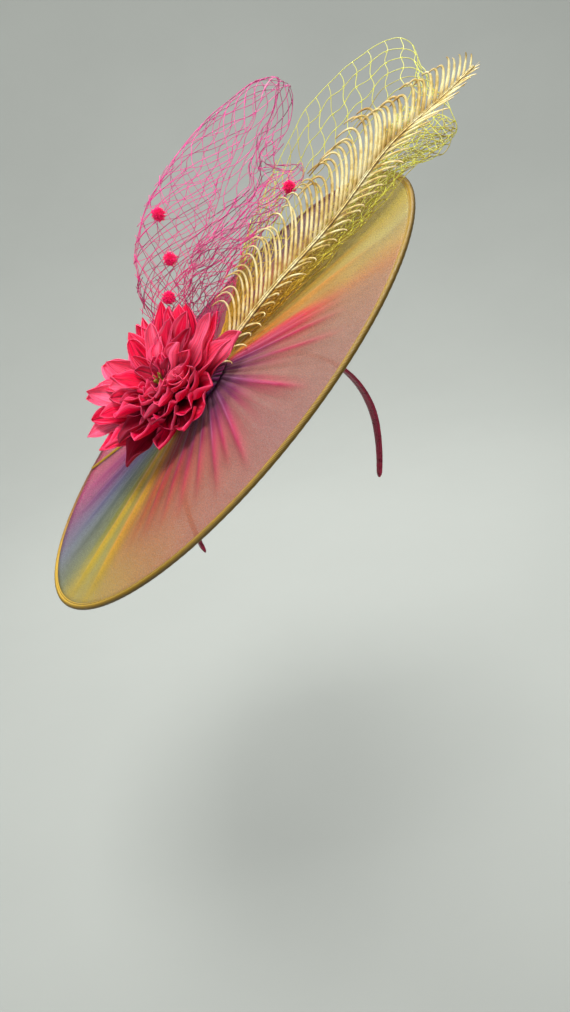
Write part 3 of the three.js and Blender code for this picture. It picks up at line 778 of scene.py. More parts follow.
@dataclass(frozen=True)
class Satin:
    """Burgundy satin ribbon, with fine threads along it and slight pull marks across it."""

    base: Colour = tint(156, 2, 54)
    dark: Colour = tint(118, 0, 40)

    def make(self) -> Material:
        """The material: dye drift, painted shade in dark patches along the pulls, threads and pulls in the
        bump.
        """
        material, bench, shader = dressed("burgundy_satin", Roughness=0.36, Specular_IOR_Level=0.35)
        around, along = bench.lay()
        place = bench.objects()
        pulls = bench.noise(bench.vector(bench.times(along, 0.35), bench.times(around, 3.0)), 1.0, 3.0)
        # Painted shade: the dark colour falls where the pull marks crease the satin
        colour = bench.mix(bench.spread(pulls, 0.35, 0.7), self.dark, self.base)
        tone = drifted(bench, colour, place, 300.0, 0.2)
        threads = bench.math("SINE", bench.times(along, 14.0))
        height = bench.plus(bench.times(threads, 0.12), pulls)
        rough = bench.spread(pulls, 0.3, 0.7, 0.24, 0.42)
        normal = bench.bump(height, 0.0003)
        feed(bench, shader, Base_Color=tone.outputs["Color"], Roughness=rough, Normal=normal)
        return material


@dataclass(frozen=True)
class PetalSilk:
    """Crimson silk with painted shade deep in the throat, painted highlights at the edges and the tip, and
    veins from root to tip.
    """

    root: Colour = tint(52, 0, 14)
    base: Colour = tint(244, 0, 66)
    edge: Colour = tint(255, 86, 132)
    pale: Colour = tint(255, 124, 160)
    shade: Colour = tint(66, 0, 18)

    def make(self) -> Material:
        """The material: a gradient of painted shade from the root, painted highlights on the edges, streaks of
        painted light and shade, veins and a tone by petal that carries painted light by side.
        """
        material, bench, shader = dressed(
            "petal_silk", Roughness=0.52, Specular_IOR_Level=0.2, Subsurface_Weight=0.15,
            Subsurface_Radius=(1.0, 0.12, 0.25), Subsurface_Scale=0.002,
        )
        across, along = bench.lay()
        place = bench.objects()
        off = bench.math("ABSOLUTE", bench.math("SUBTRACT", bench.times(across, 2.0), 1.0))
        own = bench.mark()
        # Painted shade: dark at the root, deep in the flower, full colour towards the tip
        body = bench.ramp(along, [
            (0.0, self.root), (0.22, tint(84, 0, 22)), (0.42, tint(222, 0, 58)), (0.7, self.base),
            (1.0, tint(252, 14, 76)),
        ])
        # Broad streaks from root to tip: pale painted highlights and dark painted shade
        drawn = bench.vector(bench.times(across, 5.0), bench.times(along, 0.9), bench.times(own, 9.0))
        streaks = bench.noise(drawn, 1.0, 2.0)
        light = bench.times(bench.spread(streaks, 0.5, 0.7), bench.spread(along, 0.2, 0.75))
        colour = bench.mix(bench.times(light, 0.58), body, self.pale)
        colour = bench.mix(bench.times(bench.spread(streaks, 0.46, 0.3), 0.74), colour, self.shade)
        # Painted highlight on the pale uneven rim, then the petal's own mark, partly a random tone and partly
        # painted light by side (pale painted highlight, dark painted shade), then its veins
        rim = bench.plus(off, bench.times(bench.noise(place, 420.0, 3.0), 0.14))
        rim = bench.times(bench.spread(rim, 0.84, 1.06), bench.spread(along, 0.15, 0.6))
        colour = bench.mix(bench.times(rim, 0.75), colour, self.edge)
        pale_tone_and_highlight = bench.times(bench.spread(own, 0.72, 1.0), bench.spread(along, 0.3, 0.8))
        colour = bench.mix(bench.times(pale_tone_and_highlight, 0.5), colour, self.pale)
        colour = bench.mix(bench.times(bench.spread(own, 0.4, 0.0), 0.74), colour, self.shade)
        drawn = bench.vector(bench.times(across, 18.0), bench.times(along, 1.4), own)
        veins = bench.noise(drawn, 1.0, 3.0, 0.6)
        colour = bench.mix(bench.times(bench.spread(veins, 0.6, 0.35), 0.3), colour, self.shade)
        tone = drifted(bench, colour, place, 120.0, 0.2)
        threads = bench.use(WEAVE, {"Vector": place, "Threads": 8000.0})
        height = bench.plus(bench.plus(veins, streaks), bench.times(threads.outputs[0], 0.1))
        rough = bench.spread(veins, 0.3, 0.7, 0.4, 0.6)
        normal = bench.bump(height, 0.0009)
        feed(bench, shader, Base_Color=tone.outputs["Color"], Roughness=rough, Normal=normal)
        return material


@dataclass(frozen=True)
class NetThread:
    """Stiff dyed net: a twisted thread of two tones, with a colour of its own near the gather."""

    name: str
    light: Colour
    dark: Colour
    root: Colour

    def make(self) -> Material:
        """The material: tone by strand, place and distance from the gather, with the twist in the bump."""
        material, bench, shader = dressed(self.name, Roughness=0.45, Specular_IOR_Level=0.3)
        around, along = bench.lay()
        place = bench.objects()
        blotch = bench.noise(place, 60.0, 3.0)
        share = bench.plus(bench.times(bench.mark(), 0.6), bench.times(blotch, 0.5), clamp=True)
        away = bench.place("ShaderNodeVectorMath", {0: place}, operation="DISTANCE")
        away.inputs[1].default_value = tuple(SaucerAxes().centre() * MM)
        light = bench.mix(bench.spread(away.outputs["Value"], 0.15, 0.06), self.light, self.root)
        colour = bench.mix(bench.spread(share, 0.15, 0.8), self.dark, light)
        twist = bench.math("SINE", bench.plus(bench.times(along, 5.0), bench.times(around, TURN)))
        tone = drifted(bench, colour, place, 900.0, 0.2)
        feed(bench, shader, Base_Color=tone.outputs["Color"], Normal=bench.bump(twist, 0.0001))
        return material


@dataclass(frozen=True)
class Chenille:
    """Fuzzy crimson pile, with painted shade inside and the brightest colour millimetres along its fibres."""

    pile: float = 2.6

    def make(self) -> Material:
        """The material: colour along the fibre, from the second coord, with painted shade towards the core."""
        material, bench, shader = dressed(
            "chenille", Roughness=0.85, Sheen_Weight=0.12, Specular_IOR_Level=0.1,
        )
        share = bench.math("DIVIDE", bench.lay()[1], self.pile)
        # Painted shade deep in the pile, lighter out to the fibres' ends
        colour = bench.ramp(share, [
            (0.0, tint(130, 0, 40)), (0.5, tint(226, 2, 80)), (1.0, tint(255, 24, 110)),
        ])
        tone = drifted(bench, colour, bench.objects(), 700.0, 0.35)
        feed(bench, shader, Base_Color=tone.outputs["Color"])
        return material


@dataclass(frozen=True)
class GatherCloth:
    """Organza bunched so closely that it no longer lets light through, purple with crimson creases."""

    def make(self) -> Material:
        """The material: creases by the turn, with painted shade in the valleys that the mark gives."""
        material, bench, shader = dressed("gather_cloth", Roughness=0.55, Specular_IOR_Level=0.2)
        turn, out = bench.lay()
        place = bench.objects()
        drawn = bench.vector(bench.times(turn, 150.0), bench.times(out, 1.6))
        strands = bench.noise(drawn, 1.0, 4.0, 0.65)
        hue = bench.ramp(turn, [
            (0.0, tint(112, 14, 50)), (0.12, tint(62, 50, 60)), (0.2, tint(120, 84, 14)),
            (0.3, tint(104, 18, 78)), (0.42, tint(98, 24, 92)), (0.5, tint(124, 16, 80)),
            (0.6, tint(96, 72, 12)), (0.8, tint(92, 8, 40)), (1.0, tint(112, 14, 50)),
        ])
        # Painted shade: near black purple in the crease valleys
        deep = bench.mix(bench.spread(bench.mark(), 0.7, 0.1), hue, tint(34, 4, 24))
        colour = bench.mix(bench.times(bench.spread(strands, 0.45, 0.75), 0.5), deep, tint(170, 50, 138))
        tone = drifted(bench, colour, place, 180.0, 0.25)
        feed(bench, shader, Base_Color=tone.outputs["Color"], Normal=bench.bump(strands, 0.0004))
        return material


@dataclass(frozen=True)
class FeatherGold:
    """Gold paint on a stripped feather, with brown where it has worn thin."""

    def make(self) -> Material:
        """The material: gold, bronze in patches and at the barbs' ends, fine lines, a wound quill with painted
        shade on its lower side.
        """
        material, bench, shader = dressed("feather_gold", Roughness=0.3, Specular_IOR_Level=0.7)
        around, along = bench.lay()
        place = bench.objects()
        worn = bench.noise(place, 90.0, 4.0, 0.6)
        lines = bench.noise(bench.vector(bench.times(around, 14.0), bench.times(along, 0.12)), 1.0, 3.0)
        colour = bench.ramp(worn, [
            (0.3, tint(170, 128, 40)), (0.44, tint(230, 202, 118)), (0.56, tint(255, 242, 176)),
            (0.8, tint(255, 253, 214)),
        ])
        colour = bench.mix(bench.times(bench.spread(lines, 0.58, 0.38), 0.5), colour, tint(128, 92, 24))
        mark = bench.mark()
        tips = bench.times(bench.spread(mark, 0.0, 1.0), 0.6)
        colour = bench.mix(tips, colour, tint(138, 100, 34))
        # Dark turns along the quill, and painted shade on its lower side, where the mark is below 0
        wound = bench.math("SINE", bench.plus(bench.times(along, 1.6), bench.times(around, TURN)))
        wound = bench.times(bench.spread(wound, 0.2, 1.0), 0.35)
        wraps_and_underside_shade = bench.plus(wound, bench.spread(around, 0.72, 0.82), clamp=True)
        wraps_and_underside_shade = bench.times(wraps_and_underside_shade, bench.spread(mark, -0.5, -1.0))
        colour = bench.mix(bench.times(wraps_and_underside_shade, 0.85), colour, tint(84, 56, 12))
        rough = bench.spread(worn, 0.3, 0.7, 0.42, 0.24)
        metal = bench.spread(worn, 0.3, 0.6, 0.3, 0.0)
        normal = bench.bump(lines, 0.0003)
        feed(bench, shader, Base_Color=colour, Roughness=rough, Metallic=metal, Normal=normal)
        return material


# Sub-assemblies


@dataclass
class Saucer:
    """Two layers of organza on a wire ring, pleated into a gather at the middle."""

    axes: SaucerAxes
    radius: float = 175.0
    rim_radius: float = 1.6
    gap: float = 0.3
    gather_height: float = 7.0
    upper_seat: float = 0.65
    lower_seat: float = -0.75
    fold_height: float = 1.5
    seam_angle: float = 125.0
    spokes: int = 640
    rings: int = 54
    wall: float = 0.35

    def edge(self) -> float:
        """Radius where the organza meets the ring."""
        return self.radius - self.rim_radius - self.gap

    def fold_rows(self) -> Array:
        """Folds as rows of angle, width in millimetres, share where they fade, strength and bend."""
        named = [
            (-88.5, 1.5, 0.92, 1.0, 0.03), (-94.3, 2.4, 0.62, 0.8, -0.04), (-73.6, 1.4, 0.9, 0.8, 0.02),
            (-65.9, 2.0, 0.84, 0.9, 0.02), (-60.4, 2.6, 0.8, 1.0, 0.01), (-57.0, 3.0, 0.78, 1.0, 0.0),
            (-53.5, 2.4, 0.72, 0.9, 0.0), (-104.8, 1.6, 0.96, 0.95, -0.03),
            (-109.9, 1.5, 0.84, 0.95, -0.02), (-115.1, 1.6, 0.92, 1.0, 0.0),
            (-122.3, 1.6, 0.84, 0.95, 0.0), (-129.3, 1.8, 0.84, 0.9, 0.0),
            (-137.1, 2.2, 0.8, 0.9, 0.01), (-145.8, 2.4, 0.8, 0.9, 0.01), (-151.0, 2.4, 0.82, 0.7, 0.0),
            (-161.5, 3.2, 1.05, 1.0, 0.01), (-171.5, 3.0, 1.05, 1.0, 0.0), (-177.0, 3.2, 0.9, 0.7, 0.0),
            (170.0, 3.4, 0.95, 0.6, 0.0), (159.0, 3.0, 0.95, 0.7, 0.0), (147.0, 3.2, 0.95, 0.7, 0.0),
            (136.0, 3.0, 0.95, 0.6, 0.0),
        ]
        rng = np.random.default_rng(7)
        count = 22
        hidden = np.linspace(-44, 118, count) + rng.uniform(-2, 2, count)
        rest = np.stack([hidden, rng.uniform(1.6, 3.4, count), rng.uniform(0.7, 1.0, count),
                         rng.uniform(0.5, 1.0, count), rng.uniform(-0.03, 0.03, count)], axis=1)
        return np.concatenate([np.array(named), rest])

    def folds(self, turn: Array, share: Array) -> Array:
        """Strength of the folds at a place.

        Each fold is a ridge exp(-(distance / width)^2) in a halo of a third of its strength and 2.6
        times its width, where distance is the arc from the fold's own line angle + bend * share, and it
        fades out past its own share of the radius.

        Args:
            turn: Angle in radians.
            share: Share of the radius.

        Returns:
            Strengths from 0 to 1.
        """
        total = np.zeros(np.broadcast(turn, share).shape)
        for angle, width, reach, strength, bend in self.fold_rows():
            arc = (turn - math.radians(angle) - bend * share + math.pi) % TURN - math.pi
            off = arc * share * self.edge() / (width * (1.9 - 1.1 * share))
            ridge = 0.68 * np.exp(-(off**2)) + 0.32 * np.exp(-((off / 2.6) ** 2))
            total = np.maximum(total, strength * ridge * (1 - smooth_step(reach - 0.28, reach, share)))
        return total * smooth_step(0.03, 0.2, share)

    def height(self, turn: Array, share: Array) -> Array:
        """Height of the upper layer over the rim's plane.

        It is upper_seat + gather_height (1 - share)^1.4 plus the folds and a fan of 66 shallow creases
        that die out towards the rim.
        """
        tent = self.gather_height * (1 - share) ** 1.4
        creases = 0.28 * np.sin(66 * turn + 3 * np.sin(5 * turn))
        creases = creases * smooth_step(0.04, 0.25, share) * (1 - share) ** 0.6
        ease = smooth_step(1.0, 0.9, share)
        return self.upper_seat + tent + ease * (self.fold_height * self.folds(turn, share) + creases)

    def grid(self) -> tuple[Array, Array]:
        """Angles and shares of the radius on rings by spokes, from the seam round to the seam."""
        return polar_grid(self.rings, self.spokes, math.radians(self.seam_angle))

    def on_rim(self, turn: Array, radius: Array, height: Array) -> Array:
        """World points at an angle, radius and height on the saucer's axes."""
        return self.axes.world(polar(radius, turn, height))

    def build_upper(self, finish: Material) -> Object:
        """The upper layer, with its folds in its shape and in its marks."""
        turn, share = self.grid()
        points = self.on_rim(turn, share * self.edge(), self.height(turn, share))
        surface = round_shell(points, self.wall, self.axes.rows()[2], self.folds(turn, share))
        piece = put("organza_top", surface, finish, "organza_top", ("brim_top",))
        return piece

    def build_under(self, finish: Material) -> Object:
        """The lower layer, drawn flat over the ring with a slight slack of 0.4 mm."""
        turn, share = self.grid()
        x, y = share * np.cos(turn) * self.radius, share * np.sin(turn) * self.radius
        slack = 0.4 * ripple(x, y, 60, 3) * (1 - share)
        points = self.on_rim(turn, share * self.edge(), self.lower_seat - np.abs(slack))
        marks = 0.25 * self.folds(turn + 0.03, share)
        surface = round_shell(points, self.wall, self.axes.rows()[2], marks)
        piece = put("organza_under", surface, finish, "organza_under", ("brim_under",))
        return piece

    def build_rim(self, finish: Material) -> Object:
        """The bound ring: a torus that swells by its slanting wraps, with a folded inner edge on each side."""
        spokes, sides = 720, 14
        turn = TURN * np.arange(spokes) / spokes
        around = TURN * np.arange(sides) / sides
        t, a = np.meshgrid(turn, around, indexing="ij")
        swell = 1 + 0.035 * np.sin(180 * t + 2 * a)
        surfaces = []
        for middle, width, tall, lift in (
            (self.radius, self.rim_radius * 1.04, self.rim_radius, 0.0),
            (self.radius - 1.6, 0.55, 0.4, 0.95),
            (self.radius - 1.6, 0.55, 0.4, -1.05),
        ):
            out = middle + width * swell * np.cos(a)
            points = self.on_rim(t, out, lift + tall * swell * np.sin(a))
            index = np.arange(spokes * sides).reshape(spokes, sides)
            on, after = np.roll(index, -1, axis=0), np.roll(index, -1, axis=1)
            both = np.roll(on, -1, axis=1)
            quads = np.stack([index, on, both, after], axis=-1).reshape(-1, 4)
            long = t * self.radius
            step = TURN * self.radius / spokes
            coords = swept_coords(a / TURN, 1 / sides, long, long + step)
            mark = smooth_step(-0.2, 0.75, np.sin(t + math.radians(20)))
            surfaces.append(Surface(points.reshape(-1, 3), [quads], [coords], mark.reshape(-1)))
        return put("rim_binding", Surface.joined(surfaces), finish, "gold_binding", ("rim",))

    def build_seam(self, finish: Material) -> Object:
        """The bound edge over the pleats: a flattened tube with a cord on each side, at their height."""
        share = np.linspace(0.24, 0.995, 90)
        turn = np.full(90, math.radians(self.seam_angle))
        out, high = share * self.edge(), self.height(turn, share)
        paths = np.stack([
            self.on_rim(turn + shift / out, out, high + rise)
            for shift, rise in ((0.0, 1.35), (-0.95, 1.0), (0.95, 1.0))
        ])
        radius = np.array([1.15, 0.5, 0.5])[:, None]
        marks = np.array([0.0, 0.5, 0.2])
        surface = tubes(paths, radius, self.axes.rows()[2], sides=10, flat=0.6, mark=marks)
        return put("seam_binding", surface, finish, "gold_binding", ("seam_edge",))

    def build_pad(self, finish: Material) -> Object:
        """The pad on the gather: a low dome under closely bunched folds."""
        rings, spokes = 22, 360
        middle, radius, bottom, thick = (-14.0, -1.0), 33.0, 8.45, 2.0
        turn, share = polar_grid(rings, spokes, math.radians(self.seam_angle))
        crease = 0.5 + 0.5 * np.sin(46 * turn + 2.2 * np.sin(7 * turn) + 1.2 * share)
        drop = smooth_step(0.8, 1.0, share)
        height = bottom + thick * (1 - 0.75 * drop) + 0.5 * crease * smooth_step(0.1, 0.5, share) - 0.2
        out = radius * share * (1 + 0.012 * np.sin(46 * turn))
        points = polar(out, turn, height) + np.array([*middle, 0.0])
        surface = round_shell(self.axes.world(points), 0.5, self.axes.rows()[2], crease)
        return put("gather_pad", surface, finish, "base_felt", ("trim_base",))

    def build_button(self, finish: Material) -> Object:
        """The button under the gather: a satin disc with a rounded edge and a stitched groove."""
        rings, spokes = 20, 120
        radius = 22.0
        turn, share = polar_grid(rings, spokes)
        low, high = node_box("centre_base")
        middle = (low + high) / 2
        groove = 0.25 * np.exp(-(((share - 0.86) / 0.03) ** 2))
        bulge = np.sqrt(np.clip(1 - share**8, 0, 1))
        across = self.axes.turn(polar(radius * share, turn, 0.0))
        out = self.axes.rows()[2]
        half = (0.35 + 0.65 * bulge - groove)[..., None] * out
        upper, lower = middle + across + half, middle + across - half
        parts = round_shell(upper, 0.02, out, 0 * share), round_shell(lower, 0.02, out, 0 * share)
        ring = np.stack([upper[-1], lower[-1]])
        quads = ring_quads(np.arange(2 * spokes).reshape(2, spokes))
        band = Surface(ring.reshape(-1, 3), [quads], [np.zeros((spokes, 4, 2))], np.zeros(2 * spokes))
        return put("under_button", Surface.joined([*parts, band]), finish, "satin", ("centre_base",))


@dataclass
class Headband:
    """Satin-covered band: a half circle with legs that curl in."""

    half_span: float = 82.0
    height: float = 122.0
    width: float = 10.0
    tip_width: float = 6.0
    thickness: float = 3.0
    end_angle: float = 110.0
    segments: int = 31

    def centre(self, angle: Array) -> Array:
        """Centre line: half_span (sin a, cos a - 1) for the half circle, then a longer ellipse for the legs."""
        below = (self.height - self.half_span) / abs(math.cos(math.radians(self.end_angle)))
        cosine = np.cos(angle)
        drop = np.where(cosine >= 0, self.half_span * (cosine - 1), below * cosine - self.half_span)
        half = math.radians(self.end_angle) / self.segments
        lift = self.thickness / 2 * math.cos(half) + self.half_span * (1 - math.cos(half))
        return np.stack([self.half_span * np.sin(angle), 0 * angle, drop + lift], axis=-1)

    def build(self, finish: Material) -> Object:
        """The band: a section |x|^3.2 + |y|^3.2 = 1 carried along the centre line, with soft pulls."""
        stations, sides = 420, 36
        share = np.sin(np.linspace(-1, 1, stations) * math.pi / 2 * 0.999)
        share = 0.5 * share + 0.5 * np.linspace(-1, 1, stations)
        angle = share * math.radians(self.end_angle)
        middle = self.centre(angle)
        tangent = unit(self.centre(angle + 0.01) - self.centre(angle - 0.01))
        outward = np.stack([-tangent[:, 2], 0 * angle, tangent[:, 0]], axis=-1)
        full = self.width / self.tip_width
        inward = 1 - np.abs(share)
        taper = table([
            (0, 0.3), (0.004, 0.55), (0.012, 0.8), (0.03, 0.97), (0.05, 1), (0.3, full), (1, full),
        ], inward)
        slim = table([(0, 0.3), (0.006, 0.7), (0.02, 1), (1, 1)], inward)
        turn = TURN * np.arange(sides) / sides
        power = 2 / 3.2
        across = np.sign(np.cos(turn)) * np.abs(np.cos(turn)) ** power
        out = np.sign(np.sin(turn)) * np.abs(np.sin(turn)) ** power
        wide = (self.tip_width / 2 * taper)[:, None] * across
        long = angle * self.half_span
        pull = 1 + 0.035 * np.sin(1.1 * long[:, None] + 2 * turn + 3 * np.sin(0.21 * long[:, None]))
        high = (self.thickness / 2 * slim)[:, None] * out * pull
        # Skin of the band, then the lining ribbon on its inner face
        sideways = wide[..., None] * np.array([0, 1.0, 0])
        points = middle[:, None] + high[..., None] * outward[:, None] + sideways
        index = np.arange(stations * sides).reshape(stations, sides)
        coords = swept_coords(np.arange(sides) / sides, 1 / sides, long[:-1, None], long[1:, None])
        caps = np.stack([index[0], index[-1, ::-1]])
        surface = Surface(
            points.reshape(-1, 3), [ring_quads(index), caps], [coords, np.zeros((2, sides, 2))],
            np.zeros(stations * sides),
        )
        inner = slice(30, -30)
        lining = self.centre(angle[inner]) - 1.52 * outward[inner]
        ribbon = tubes(lining[None], 0.5, outward[None, inner], sides=6, flat=0.3)
        return put("satin_headband", Surface.joined([surface, ribbon]), finish, "satin", ("headband",))


@dataclass(frozen=True)
class Whorl:
    """One ring of petals in shares of the flower's size, but for the root and the hub in millimetres."""

    petals: int
    reach: float
    tip: float
    bow: float
    rise: float
    width: float
    turn: float
    root: float
    cup: float
    hub: float


@dataclass
class Dahlia:
    """Silk flower: whorls of cupped, ruffled petals round a tuft of stamens, tipped towards the front."""

    axes: SaucerAxes
    at: tuple[float, float, float] = (-26.0, -19.0, 16.45)
    tip: float = 26.0
    radius: float = 63.0
    height: float = 46.0
    rows: int = 20
    columns: int = 15

    whorls = [
        Whorl(13, 1.06, 0.5, 0.6, 0.14, 0.155, 0.0, 5.0, 0.34, 13.0),
        Whorl(13, 0.95, 0.64, 0.52, 0.26, 0.16, 0.5, 8.0, 0.4, 10.9),
        Whorl(12, 0.8, 0.73, 0.44, 0.36, 0.165, 0.2, 10.5, 0.46, 8.8),
        Whorl(11, 0.62, 0.77, 0.34, 0.45, 0.175, 0.7, 12.5, 0.55, 6.7),
        Whorl(9, 0.44, 0.78, 0.24, 0.5, 0.2, 0.1, 14.0, 0.65, 4.6),
    ]
    heart = Whorl(8, 0.27, 0.7, 0.15, 0.5, 0.24, 0.4, 15.5, 0.75, 3.0)
    lengths = [
        (0, 0.9), (30, 1.0), (60, 0.92), (90, 0.97), (120, 1.02), (150, 0.92), (180, 1.0), (210, 0.84),
        (240, 0.66), (270, 0.68), (300, 0.62), (325, 0.88), (345, 1.02), (360, 0.9),
    ]
    # Tone by angle in degrees round the flower, painted light by side: high for the upper left petals (pale
    # painted highlight), low for the lower left ones (painted shade)
    tones = [
        (0, 0.25), (50, 0.5), (100, 0.62), (125, 1.1), (145, 0.5), (165, 0.12), (200, 0.0), (230, 0.3),
        (280, 0.5), (345, 0.75), (360, 0.25),
    ]

    def world(self, points: Array) -> Array:
        """Points on the flower's own axes, tipped and set on the saucer."""
        tip = math.radians(self.tip)
        x, y, z = np.moveaxis(points, -1, 0)
        cosine, sine = math.cos(tip), math.sin(tip)
        tipped = np.stack([x, y * cosine - z * sine, y * sine + z * cosine], axis=-1)
        return self.axes.world(tipped + np.array(self.at))

    def petals(self, row: Whorl, seed: int) -> Surface:
        """One whorl of petals.

        The midrib is the quadratic (1-s)^2 root + 2 s (1-s) control + s^2 tip. The half width is
        W sin(pi (0.03 + 0.97 s)^1.2)^p, where p rises from 0.55 for the rounder inner petals to 0.9.
        Across it, the petal rises by cup w |t|^1.8, with a furrow along the midrib and one on each side
        of it, edges that ruffle as sin(2 pi 2.2 s + phase) |t|^2.5, and a twist that grows with s^2.

        Args:
            row: The whorl's sizes.
            seed: Seed of the petals' differences.

        Returns:
            The petals as closed walls, on the world's axes.
        """
        rng = np.random.default_rng(seed)
        count = row.petals
        s = np.linspace(0, 1, self.rows)[None, :, None]
        t = np.linspace(-1, 1, self.columns)[None, None, :]
        shape = (count, 1, 1)
        # Place and size of each petal, and its midrib
        turn = TURN * (np.arange(count) + row.turn) / count + rng.uniform(-0.17, 0.17, count)
        turn = turn.reshape(shape)
        uneven = table(self.lengths, np.degrees(turn) % 360)
        uneven = 1 + (uneven - 1) * min(1.0, row.reach + 0.1)
        length = rng.uniform(0.88, 1.04, shape) * uneven
        lift = rng.uniform(-0.07, 0.07, shape) * self.height
        root_out = max(row.hub - 2.5, 0.8)
        bow = row.bow * self.radius * rng.uniform(0.88, 1.1, shape) * (0.4 + 0.6 * uneven)
        rise = np.maximum(row.rise * self.height, row.root + 1) + 0.6 * lift
        reach = row.reach * self.radius * length
        top = row.tip * self.height + lift
        out = (1 - s) ** 2 * root_out + 2 * s * (1 - s) * bow + s**2 * reach
        recurve = rng.uniform(-0.35, 1.0, shape) * 7.0 * row.reach
        up = (1 - s) ** 2 * row.root + 2 * s * (1 - s) * rise + s**2 * top - recurve * s**4
        slope_out = 2 * (1 - s) * (bow - root_out) + 2 * s * (reach - bow)
        slope_up = 2 * (1 - s) * (rise - row.root) + 2 * s * (top - rise) - 4 * recurve * s**3
        norm = np.sqrt(slope_out**2 + slope_up**2)
        ahead_out, ahead_up = slope_out / norm, slope_up / norm
        # Width, and the section across the midrib
        widest = row.width * row.reach**0.8 * self.radius * rng.uniform(0.85, 1.2, shape)
        point = 0.55 + 0.35 * smooth_step(0.55, 1.0, np.array(row.reach))
        half = widest * np.clip(np.sin(math.pi * (0.03 + 0.97 * s) ** 1.2), 0, 1) ** point + 0.16
        edge = np.abs(t)
        cup = row.cup * rng.uniform(0.5, 1.6, shape)
        phase = rng.uniform(0, TURN, (2, *shape))
        ruffle = np.sin(TURN * 2.2 * s + np.where(t < 0, phase[0], phase[1])) * edge**2.5
        ruffle = ruffle * rng.uniform(0.9, 2.6, shape) * np.sin(math.pi * np.clip(s, 0, 0.97)) ** 0.5
        roll = rng.uniform(-0.6, 2.2, shape) * np.maximum(edge - 0.66, 0) ** 2 * 8 * s
        furrows = -0.6 * np.exp(-((t / 0.13) ** 2)) - 0.3 * np.exp(-(((edge - 0.45) / 0.14) ** 2))
        over = cup * half * edge**1.8 + roll + ruffle + furrows * np.sin(math.pi * s)
        side = half * t * (1 - 0.2 * edge**2 * np.minimum(cup, 1))
        # Twist, and the points round the flower's axis
        twist = rng.uniform(-0.6, 0.6, shape) * s**2
        cosine, sine = np.cos(twist), np.sin(twist)
        side, over = side * cosine - over * sine, side * sine + over * cosine
        angle = turn + rng.uniform(-0.16, 0.16, shape) * s**2
        radius = out - ahead_up * over
        height = up + ahead_out * over + 0 * t
        points = np.stack([
            radius * np.cos(angle) - side * np.sin(angle),
            radius * np.sin(angle) + side * np.cos(angle),
            height,
        ], axis=-1)
        thick = np.broadcast_to(0.5 - 0.25 * edge, (count, self.rows, self.columns))
        # Each petal's own mark: a random tone plus, on the outer whorls, the painted light by side from the
        # tones
        tone = table(self.tones, np.degrees(turn.reshape(-1)) % 360)
        outer = smooth_step(0.5, 0.95, np.array(row.reach))
        own = np.clip(rng.uniform(0.1, 0.95, count) + (tone - 0.45) * outer, 0, 1)
        return shells(self.world(points), thick, own)

    def hub(self, low: float, high: float, wide: float) -> Surface:
        """The knob that a whorl is wired to: a short barrel with rounded ends."""
        share = np.linspace(0, 1, 9)
        out = wide * np.sqrt(np.clip(1 - (2 * share - 1) ** 6, 0.02, 1))
        path = np.stack([0 * share, 0 * share, low + (high - low) * share], axis=-1)
        return tubes(self.world(path)[None], out[None], self.axes.rows()[0], sides=24)

    def curl(self) -> Surface:
        """A petal wound into a curl: a spiral whose radius grows with the angle and flares to the top."""
        s = np.linspace(0, 1, 16)[:, None]
        t = np.linspace(0, 1, 84)[None, :]
        angle = TURN * 2.1 * t + 0.6
        radius = 1.0 + 8.4 * t**0.9 * (0.5 + 0.62 * s**1.5) + 0.5 * np.sin(9 * t + 2 * s) * s
        height = 19 + 15 * s * (0.95 - 0.25 * t + 0.08 * np.sin(12 * t))
        x = 6.5 + 0.16 * (height - 19) + radius * np.cos(angle)
        y = -15.5 - 0.2 * (height - 19) + 0.82 * radius * np.sin(angle)
        points = self.world(np.stack([x, y, height + 0 * t], axis=-1))[None]
        return shells(points, 0.45, np.array([0.9]))

    def build(self, silk: Material, stamen: Material) -> None:
        """Makes the five whorls, from the outermost inwards, then the heart, the curl and the stamens."""
        for layer, row in enumerate(self.whorls):
            low = 0.0 if layer == 0 else row.root - 2
            number = len(self.whorls) - layer
            surface = Surface.joined([self.petals(row, 40 + layer), self.hub(low, row.root + 1, row.hub)])
            put(f"petals_{number}", surface, silk, "petal_silk", (f"flower_whorl_{number}",), crisp=70)
        heart = Surface.joined([self.petals(self.heart, 60), self.curl()])
        put("flower_heart", heart, silk, "petal_silk", ("flower_core",), crisp=70)
        rng = np.random.default_rng(5)
        count = 14
        angle = rng.uniform(0, TURN, count)
        lean = rng.uniform(0.1, 0.5, count)
        s = np.linspace(0, 1, 9)
        length = rng.uniform(9, 13, count)[:, None]
        out = 0.8 + lean[:, None] * s**1.5 * 6
        paths = polar(out, angle[:, None], 16 + length * s)
        radius = 0.25 + 0.4 * smooth_step(0.82, 0.95, s)[None]
        surface = tubes(self.world(paths), radius, self.axes.rows()[0], sides=6)
        put("stamens", surface, stamen, "petal_silk")


@dataclass(frozen=True)
class NetLayer:
    """One layer of a net: its cells, the part of the sheet it covers, its lift, edges and tones."""

    spacing: float
    span: tuple[float, float] = (0.0, 1.0)
    lift: float = 0.0
    slope: float = 1.0
    bunch: float = 0.35
    square: bool = False
    edges: tuple[float, ...] = ()
    seed: int = 1
    tones: tuple[float, float] = (0.3, 1.0)


